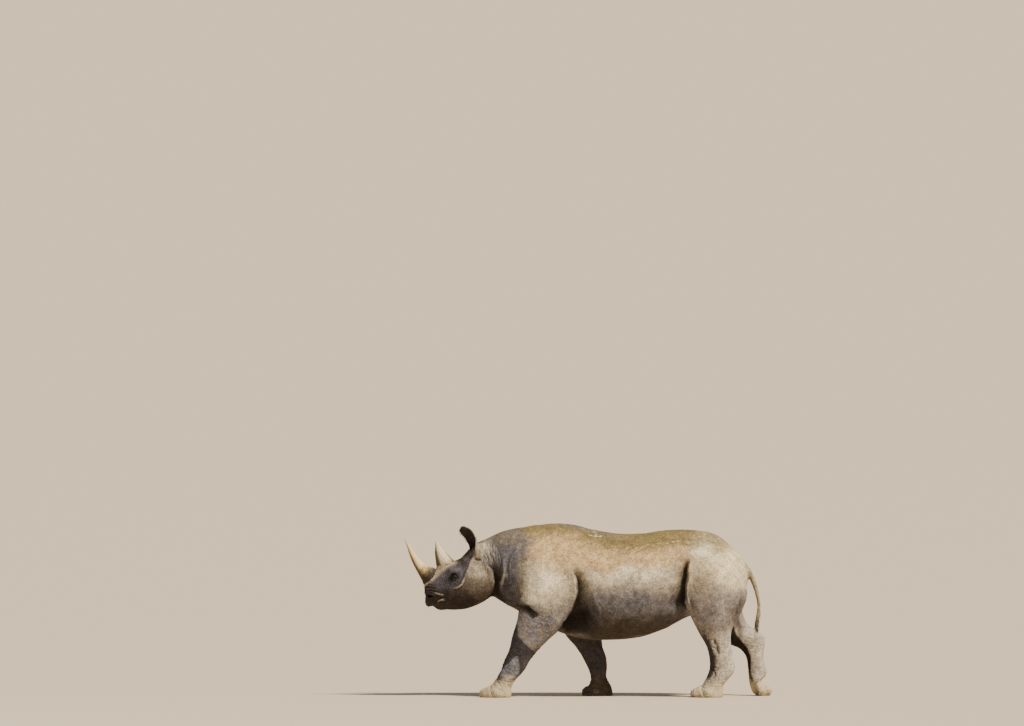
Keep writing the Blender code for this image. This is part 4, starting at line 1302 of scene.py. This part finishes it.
HORN_SIDES = 160
FIBRE_DEPTH, FRAY_DEPTH, RING_DEPTH = 0.0011, 0.0035, 0.0010  # the last two at the base only
SKIRT = 0.006  # how far the ends of the fibres stand out round the base


def horn_mesh(rows):
    """A horn through its sections, with the ends of its fibres frayed at the base."""
    rows = np.array(curved(rows, 14))
    turn = np.linspace(0, 2 * math.pi, HORN_SIDES, endpoint=False)
    along = np.linspace(0, 1, len(rows))[:, None]
    front = np.stack([rows[:, 0] + SHIFT, rows[:, 1]], 1)
    back = np.stack([rows[:, 2] + SHIFT, rows[:, 3]], 1)
    mid, reach = (front + back) / 2, (front - back) / 2
    ring = mid[:, None] + reach[:, None] * np.cos(turn)[None, :, None]
    wide = rows[:, 4, None] * np.sin(turn)
    where = np.stack([ring[..., 0], wide, ring[..., 1]], 2)
    outward = where - np.stack([mid[:, 0], 0 * mid[:, 0], mid[:, 1]], 1)[:, None]
    size = np.linalg.norm(outward, axis=2, keepdims=True)
    outward /= np.maximum(size, 1e-6)
    flat = np.stack(np.broadcast_arrays(np.cos(turn) * 3, np.sin(turn) * 3, along * 2.2), 2).reshape(-1, 3)
    fibre = creases(flat, (0.16, 0.16, 1.4), 31).reshape(len(rows), -1)
    fray = creases(flat, (0.22, 0.22, 0.25), 32).reshape(len(rows), -1)
    rings = np.sin(along * 70 + 3 * noise(flat, (1.5, 1.5, 0.5), 33).reshape(len(rows), -1))
    base = ramp(along, 0.42, 0.16)
    depth = FIBRE_DEPTH * fibre * ramp(along, 1.0, 0.75) + (FRAY_DEPTH * fray + RING_DEPTH * rings) * base
    skirt = SKIRT * bell((along - 0.17) / 0.05)
    where += outward * np.minimum(skirt - depth, size[..., 0] * 0.6)[..., None]
    count, sides = len(rows), HORN_SIDES
    grid = np.arange(count * sides).reshape(count, sides)
    ahead = np.roll(grid, -1, 1)
    quads = np.stack([grid[:-1], ahead[:-1], ahead[1:], grid[1:]], 2).reshape(-1, 4)
    rough = bpy.data.meshes.new("horn")
    rough.from_pydata(where.reshape(-1, 3).tolist(), [], [*quads.tolist(), *grid[[0, -1]].tolist()])
    bm = bmesh.new()
    bm.from_mesh(rough)
    mesh = built("horn", bm)
    remember(mesh, "height", np.repeat(along[:, 0], sides))
    # painted shade down the front edge, which faces away from the light
    front_shade = ramp(np.cos(turn), 0.15, 0.70) * ramp(along, 0.98, 0.65)
    remember(mesh, "grooves_and_shade", np.maximum(fibre * 0.5 + fray * base * 0.85, front_shade).ravel())
    mesh.shade_smooth()
    return mesh


def fibred():
    """Fine grain drawn out along the fibres of horn or nail, which lean by some angle."""
    tree, given, made = effect(
        "fibres",
        {"Place": (VECTOR, None), "Lean": (VECTOR, (0, 0, 0)), "Scale": (NUMBER, 260.0)},
        {"Grain": NUMBER},
    )
    stretch = {"Vector": given["Place"], "Rotation": given["Lean"], "Scale": (1, 1, 0.12)}
    drawn = put(tree, "ShaderNodeMapping", stretch).outputs[0]
    tree.links.new(mottled(tree, drawn, given["Scale"], 4.0, 0.65), made["Grain"])
    return tree


FIBRES = fibred()


def horn_finish(name, root, low, high, tip, speckle):
    """Horn: fibrous, dark and rough at its base, pale and smoother above, with painted shade down its
    front edge.
    """
    made, tree, shader = surface(name, Specular_IOR_Level=0.35)
    place = put(tree, "ShaderNodeTexCoord").outputs["Object"]
    height, grooves_and_shade = recall(tree, "height"), recall(tree, "grooves_and_shade")
    grain = placed(tree, FIBRES, {"Place": place, "Lean": (0, -0.5, 0), "Scale": 260.0})["Grain"]
    ragged = between(tree, mottled(tree, place, 26.0, 4.0), 0.3, 0.7, -0.05, 0.05)
    up = calculate(tree, "ADD", height, ragged)
    colour = mixed(tree, between(tree, up, 0.24, 0.38), root, low)
    colour = mixed(tree, between(tree, up, 0.33, 0.54), colour, high)
    colour = mixed(tree, between(tree, up, 0.72, 0.98), colour, tip)
    colour = mixed(tree, between(tree, grain, 0.50, 0.30, 0.0, 0.38), colour, (112, 92, 66))
    dots = between(tree, mottled(tree, place, 150.0, 2.0), 0.56, 0.70, 0.0, speckle)
    colour = mixed(tree, dots, colour, (104, 88, 66))
    # dark fibre grooves and frayed base, and the front edge's painted shade
    colour = mixed(tree, calculate(tree, "MULTIPLY", grooves_and_shade, 0.9), colour, (54, 44, 33))
    amount = between(tree, height, 0.5, 0.15, 0.0, 0.18)
    covered = placed(tree, DUST, {"Place": place, "Colour": colour, "Amount": amount, "Patch": 0.02})
    tree.links.new(covered["Colour"], shader["Base Color"])
    tree.links.new(between(tree, height, 0.2, 0.8, 0.85, 0.62), shader["Roughness"])
    bump = put(tree, "ShaderNodeBump", {"Height": grain, "Strength": 0.6, "Distance": 0.0012})
    tree.links.new(bump.outputs["Normal"], shader["Normal"])
    return made


# The colours of a horn's root, lower part, upper part and tip, and how speckled it is
HORN_FINISHES = {
    "horn_front": ((44, 35, 24), (146, 122, 84), (236, 204, 144), (216, 194, 154), 0.25),
    "horn_rear": ((112, 95, 70), (184, 165, 128), (226, 208, 172), (212, 194, 160), 0.85),
}
for node, rows in HORNS.items():
    horn = linked(f"{node}_fibres", horn_mesh(rows))
    horn.data.materials.append(horn_finish(node, *HORN_FINISHES[node]))
    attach(horn, "root")
    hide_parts(node)

# ---- Eyes ----
# Two small dark eyes, each a wet ball with a brown iris round its pupil under a
# clear, slightly bulging front. The lids of the hide hold them.

IRIS, PUPIL, CORNEA = 0.0115, 0.0046, 0.0016  # radii, and how far the front bulges


def eye_mesh(side):
    """The eyeball, its axis facing out between the lids."""
    bm = bmesh.new()
    bmesh.ops.create_uvsphere(bm, u_segments=64, v_segments=64, radius=EYE_RADIUS)
    mesh = built("eye", bm)
    where = places(mesh)
    from_axis = np.hypot(where[:, 0], where[:, 1]) + (where[:, 2] < 0)
    where *= (1 + CORNEA / EYE_RADIUS * ramp(from_axis, IRIS, 0))[:, None]
    along, _, out = eye_axes(side)
    move(mesh, EYES[side] + where @ np.array([along, np.cross(out, along), out]))
    remember(mesh, "from_axis", from_axis)
    mesh.shade_smooth()
    return mesh


def eye_finish():
    """A wet eye: black pupil, brown iris with fine rays, dull brown round it."""
    made, tree, shader = surface("eye", Roughness=0.10, IOR=1.38, Coat_Weight=0.25, Coat_Roughness=0.03)
    away = recall(tree, "from_axis")
    place = put(tree, "ShaderNodeTexCoord").outputs["Object"]
    rays = between(tree, mottled(tree, place, 900.0, 3.0), 0.35, 0.65)
    iris = mixed(tree, rays, (24, 14, 8), (42, 26, 15))
    colour = mixed(tree, between(tree, away, PUPIL * 1.08, PUPIL * 0.92), iris, (5, 4, 4))
    colour = mixed(tree, between(tree, away, IRIS * 0.82, IRIS), colour, (16, 11, 9))
    colour = mixed(tree, between(tree, away, IRIS * 1.05, IRIS * 1.5), colour, (26, 20, 17))
    tree.links.new(colour, shader["Base Color"])
    return made


EYE_FINISH = eye_finish()
for side, name in zip(BOTH, ("left", "right")):
    eye = linked(f"eyeball_{name}", eye_mesh(side))
    eye.data.materials.append(EYE_FINISH)
    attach(eye, "root")
    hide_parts(f"eye_{name}")

# ---- Nails ----
# Three broad hoof-like nails on each foot, of hard grey keratin, dusty and worn
# level at the ground. Each is let into the front of its toe.

NAIL_GRID = 0.0024  # spacing of a nail's points
NAIL_FLAT = 0.017  # beyond this a nail's front is flattened


def nail_mesh(node):
    """A nail's solid part made fine and rounder, with growth lines across it."""
    mesh = modified(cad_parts[node].data.copy(), "REMESH", mode="VOXEL", voxel_size=NAIL_GRID)
    relaxed(mesh, 0.5, 14)
    core, axes = nail_axes(node)
    where = places(mesh)
    proud = np.maximum((where - core) @ axes[2] - NAIL_FLAT, 0)
    move(mesh, where - axes[2] * (0.30 * proud)[:, None])
    where, out = places(mesh), facing(mesh)
    low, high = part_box(node)
    height = (where[:, 2] - low.z) / (high.z - low.z)
    lines = np.sin(height * 34 + 3 * noise(where, 0.03, 50))
    depth = 0.0003 * lines + 0.0005 * creases(where, (0.008, 0.008, 0.06), 51)
    depth += 0.0012 * creases(where, 0.012, 52) * ramp(height, 0.45, 0.1)
    where += out * (0.0012 - depth * ramp(out[:, 2], -0.9, -0.4))[:, None]
    where[:, 2] = np.maximum(where[:, 2], low.z)
    move(mesh, where)
    remember(mesh, "height", height)
    # the far forefoot's nails get little dust cover, and so the darker colour: painted shade
    remember(mesh, "cover", np.full(len(where), 0.1 if "fore_right" in node else 0.55))
    mesh.shade_smooth()
    return mesh


def nail_finish():
    """Grey keratin with upright grain, dusty below."""
    made, tree, shader = surface("nail", Specular_IOR_Level=0.3)
    place = put(tree, "ShaderNodeTexCoord").outputs["Object"]
    height = recall(tree, "height")
    grain = placed(tree, FIBRES, {"Place": place, "Scale": 300.0})["Grain"]
    cloud = between(tree, mottled(tree, place, 60.0, 4.0), 0.35, 0.65)
    cover = recall(tree, "cover")
    # little cover gives the darker colour, which on the far forefoot is painted shade
    darker = mixed(tree, cloud, (82, 71, 60), (112, 98, 82))
    paler = mixed(tree, cloud, (130, 114, 92), (174, 156, 128))
    colour = mixed(tree, between(tree, cover, 0.2, 0.5), darker, paler)
    colour = mixed(tree, between(tree, grain, 0.5, 0.3, 0.0, 0.5), colour, (96, 82, 64))
    colour = mixed(tree, between(tree, height, 0.22, 0.0, 0.0, 0.6), colour, (112, 96, 74))
    amount = calculate(tree, "MULTIPLY", cover, 0.7)
    covered = placed(tree, DUST, {"Place": place, "Colour": colour, "Amount": amount, "Patch": 0.02})
    tree.links.new(covered["Colour"], shader["Base Color"])
    tree.links.new(between(tree, covered["Cover"], 0.0, 1.0, 0.55, 0.85), shader["Roughness"])
    bump = put(tree, "ShaderNodeBump", {"Height": grain, "Strength": 0.5, "Distance": 0.0008})
    tree.links.new(bump.outputs["Normal"], shader["Normal"])
    return made


NAIL_FINISH = nail_finish()
for node in NAILS:
    nail = linked(f"{node}_plate", nail_mesh(node))
    nail.data.materials.clear()
    nail.data.materials.append(NAIL_FINISH)
    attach(nail, "root")
    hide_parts(node)

# ---- Hair ----
# The only hair on the animal: a dark fringe round the ends of the ears, short
# hair in their hollows, the tail's thin brush, and lashes. Each hair is a tapered,
# bent spike rooted in the hide.

HAIR_RINGS = 5
HAIR_SIDES = 3
PATCH = 0.003  # how much of the map each hair takes
SUNK = 0.0015  # how deep a hair is rooted
RIM_HAIRS, TIP_HAIRS, INNER_HAIRS, LASHES, BRUSH_HAIRS = 460, 150, 170, 26, 420


def hairs(name, roots, aims, length, width, droop, seed):
    """A piece of hair: spikes at these roots, aimed so, bent over by droop. The hairs are
    of about this length, and this wide at the root."""
    chance = np.random.default_rng(seed)
    found, out, face, _ = zip(*[SKIN_TREE.find_nearest(root) for root in roots])
    roots, aims = np.array(found) - SUNK * np.array(out), np.array(aims, float)
    many = len(roots)
    aims += chance.normal(0, 0.16, aims.shape)
    aims /= np.linalg.norm(aims, axis=1)[:, None]
    lengths = length * chance.uniform(0.6, 1.15, many)
    aside = np.cross(aims, chance.normal(size=aims.shape))
    aside /= np.linalg.norm(aside, axis=1)[:, None]
    other = np.cross(aims, aside)
    share = np.linspace(0, 1, HAIR_RINGS)
    lean = chance.normal(0, 0.12, (many, 3)) + (0, 0, -droop)
    spine = aims[:, None] * share[None, :, None] + lean[:, None] * (share**2)[None, :, None]
    spine = roots[:, None] + spine * lengths[:, None, None]
    thick = width / 2 * (1 - 0.9 * share)
    turns = (np.arange(HAIR_SIDES) * 2 * math.pi / HAIR_SIDES)[None, :, None]
    spread = aside[:, None] * np.cos(turns) + other[:, None] * np.sin(turns)
    where = spine[:, :, None] + spread[:, None] * thick[None, :, None, None]
    index = np.arange(many * HAIR_RINGS * HAIR_SIDES).reshape(many, HAIR_RINGS, HAIR_SIDES)
    ahead = np.roll(index, -1, 2)
    quads = np.stack([index[:, :-1], ahead[:, :-1], ahead[:, 1:], index[:, 1:]], 3).reshape(-1, 4)
    ends = np.concatenate([index[:, 0, ::-1], index[:, -1]])
    mesh = bpy.data.meshes.new(name)
    mesh.from_pydata(where.reshape(-1, 3).tolist(), [], quads.tolist() + ends.tolist())
    remember(mesh, "along", np.tile(np.repeat(share, HAIR_SIDES), many))
    remember(mesh, "lock", np.repeat(chance.uniform(0, 1, many), HAIR_RINGS * HAIR_SIDES))
    chart = charts(face_at[list(face)], face_out[list(face)])
    root_place = on_map(roots, chart, SKIN_MAP)
    corner = corners(mesh)
    side, ring = corner % HAIR_SIDES, corner // HAIR_SIDES % HAIR_RINGS
    around = np.stack([side / (HAIR_SIDES - 1), ring / (HAIR_RINGS - 1)], 1) - 0.5
    mapped(mesh, root_place[corner // (HAIR_SIDES * HAIR_RINGS)] + around * PATCH)
    mesh.materials.append(HAIR_FINISH)
    mesh.shade_smooth()
    piece = linked(name, mesh)
    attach(piece, "root")


def hair_finish():
    """Stiff dark hair, browner at its ends and dulled by dust at its roots."""
    made, tree, shader = surface("hair", Roughness=0.55, Specular_IOR_Level=0.3)
    along, lock = recall(tree, "along"), recall(tree, "lock")
    colour = mixed(tree, lock, (34, 27, 23), (72, 60, 48))
    colour = mixed(tree, between(tree, along, 0.5, 1.0, 0.0, 0.6), colour, (88, 73, 56))
    colour = mixed(tree, between(tree, along, 0.3, 0.0, 0.0, 0.35), colour, (96, 84, 70))
    tree.links.new(colour, shader["Base Color"])
    return made


def ear_roots(side, chance):
    """Roots and aims of the fringe on the rims of one ear, and of the hair inside."""
    rings = [np.array([tuple(point) for point in ring]) for ring in ear_rings(side)]
    sections = ear_line(side)
    half = len(rings[0]) // 2
    rim, inside = [], []
    for _ in range(RIM_HAIRS):
        at = (len(rings) - 1.001) * chance.uniform(0.40, 1.0) ** 0.75
        i, part = int(at), at % 1
        _, along, forward, aside, _, _ = sections[i]
        edge = chance.choice((0, half - 1))
        spot = rings[i][edge] * (1 - part) + rings[i + 1][edge] * part
        tip = max(at / len(rings) - 0.6, 0) * 2
        rim.append((spot, aside * (1 if edge else -1) + along * (0.6 + tip) + forward * 0.1))
    for _ in range(TIP_HAIRS):
        k, part = int(chance.integers(0, half - 1)), chance.uniform()
        spot = rings[-1][k] * (1 - part) + rings[-1][k + 1] * part
        rim.append((spot, sections[-1][1] + sections[-1][3] * (k / half - 0.5)))
    for _ in range(INNER_HAIRS):
        i = int(chance.integers(len(rings) // 3, len(rings) - 4))
        k = int(chance.integers(half + 3, 2 * half - 3))
        centre, along = sections[i][:2]
        inside.append((rings[i][k], (Vector(centre) - Vector(rings[i][k])).normalized() * 0.7 + along))
    return rim, inside


SKIN_TREE = tree_of(skin_mesh)
HAIR_FINISH = hair_finish()
for side, name in zip(BOTH, ("left", "right")):
    rim, inside = ear_roots(side, np.random.default_rng(60 + side))
    hairs(f"ear_fringe_{name}", *zip(*rim), length=0.015, width=0.0011, droop=0.15, seed=61)
    hairs(f"ear_hair_{name}", *zip(*inside), length=0.013, width=0.0009, droop=0.0, seed=62)
    lid = []
    for a in np.linspace(-0.8, 0.8, LASHES):
        along, up, out = eye_axes(side)
        b = OPENING[1] * (1 - a * a)
        flat = along * a * OPENING[0] + up * b
        height = math.sqrt((EYE_RADIUS + 0.002) ** 2 - flat @ flat)
        lid.append((EYES[side] + flat + out * height, out + 0.35 * up + 0.25 * a * along))
    hairs(f"lashes_{name}", *zip(*lid), length=0.013, width=0.0010, droop=0.35, seed=63)

# The middle of the tail where it has hair, as x, z points
TAIL_BRUSH = ((1.578, 0.800), (1.569, 0.740), (1.561, 0.690), (1.557, 0.650), (1.559, 0.605))
chance = np.random.default_rng(65)
line = np.array(curved(TAIL_BRUSH, 8))
brush = []
for _ in range(BRUSH_HAIRS):
    share = chance.uniform(0, 1) ** 0.8
    x, z = line[int(share * (len(line) - 1))]
    way = chance.choice((-1, 1)) * abs(chance.normal(0, 0.5))
    turn = math.pi / 2 - math.pi / 2 * math.copysign(1, way) + way
    radius = 0.016 - 0.010 * share
    aside = Vector((math.cos(turn), 0.6 * math.sin(turn), 0))
    root = Vector((x + SHIFT, 0, z)) + aside * radius
    brush.append((root, aside * (0.10 + 0.10 * share) + Vector((0, 0, -1))))
hairs("tail_brush", *zip(*brush), length=0.052, width=0.0013, droop=0.05, seed=66)

# ---- Stage ----
# A plain pale floor and a backdrop of its colour, under soft studio light: a warm
# key from above and behind the animal, a weak fill from ahead, and an even sky.
# The camera stands far off at the animal's left side, a little above its back.


LIT = Vector((0, 0, 0.8))  # the point that the lamps are turned to


def stage_light(name, kind, where, energy, size, colour):
    """One lamp: its size is in metres, or for the sun in radians."""
    lamp = bpy.data.lights.new(name, kind)
    lamp.energy = energy
    lamp.color = colour
    setattr(lamp, "size" if kind == "AREA" else "angle", size)
    made = bpy.data.objects.new(name, lamp)
    made.location = where
    made.rotation_euler = (LIT - Vector(where)).to_track_quat("-Z", "Y").to_euler()
    bpy.context.scene.collection.objects.link(made)


floor_mesh = bpy.data.meshes.new("floor")
floor_mesh.from_pydata([(-400, -80, 0), (400, -80, 0), (400, 900, 0), (-400, 900, 0)], [], [(0, 1, 2, 3)])
floor = linked("floor", floor_mesh)
floor_mesh.materials.append(surface("floor", Base_Color=(0.56, 0.46, 0.33, 1), Roughness=0.9)[0])
stage_light("key", "SUN", (4.6, -3.4, 8.0), energy=7.3, size=0.12, colour=(1.0, 0.92, 0.79))
stage_light("fill", "AREA", (-6, -9, 5), energy=100, size=6, colour=(0.93, 0.96, 1.0))
# The sky lights the animal, and the camera sees the brighter backdrop in its place
world = bpy.data.worlds.new("world")
world.use_nodes = True
tree = world.node_tree
sky = put(tree, "ShaderNodeBackground", {"Color": (0.87, 0.91, 0.96, 1), "Strength": 0.34})
backdrop = put(tree, "ShaderNodeBackground", {"Color": (1.0, 0.782, 0.519, 1), "Strength": 1.145})
seen = put(tree, "ShaderNodeLightPath").outputs["Is Camera Ray"]
either = put(tree, "ShaderNodeMixShader", {0: seen, 1: sky.outputs[0], 2: backdrop.outputs[0]})
tree.links.new(either.outputs[0], tree.nodes["World Output"].inputs["Surface"])
bpy.context.scene.world = world

camera_data = bpy.data.cameras.new("camera")
camera_data.lens = 229
camera_data.clip_end = 2000
camera = bpy.data.objects.new("camera", camera_data)
aim = Vector((-0.694 + SHIFT, 0, 3.07))
camera.location = (-0.694 + SHIFT, -60, 2.4)
camera.rotation_euler = (aim - Vector(camera.location)).to_track_quat("-Z", "Y").to_euler()
bpy.context.scene.collection.objects.link(camera)
bpy.context.scene.camera = camera
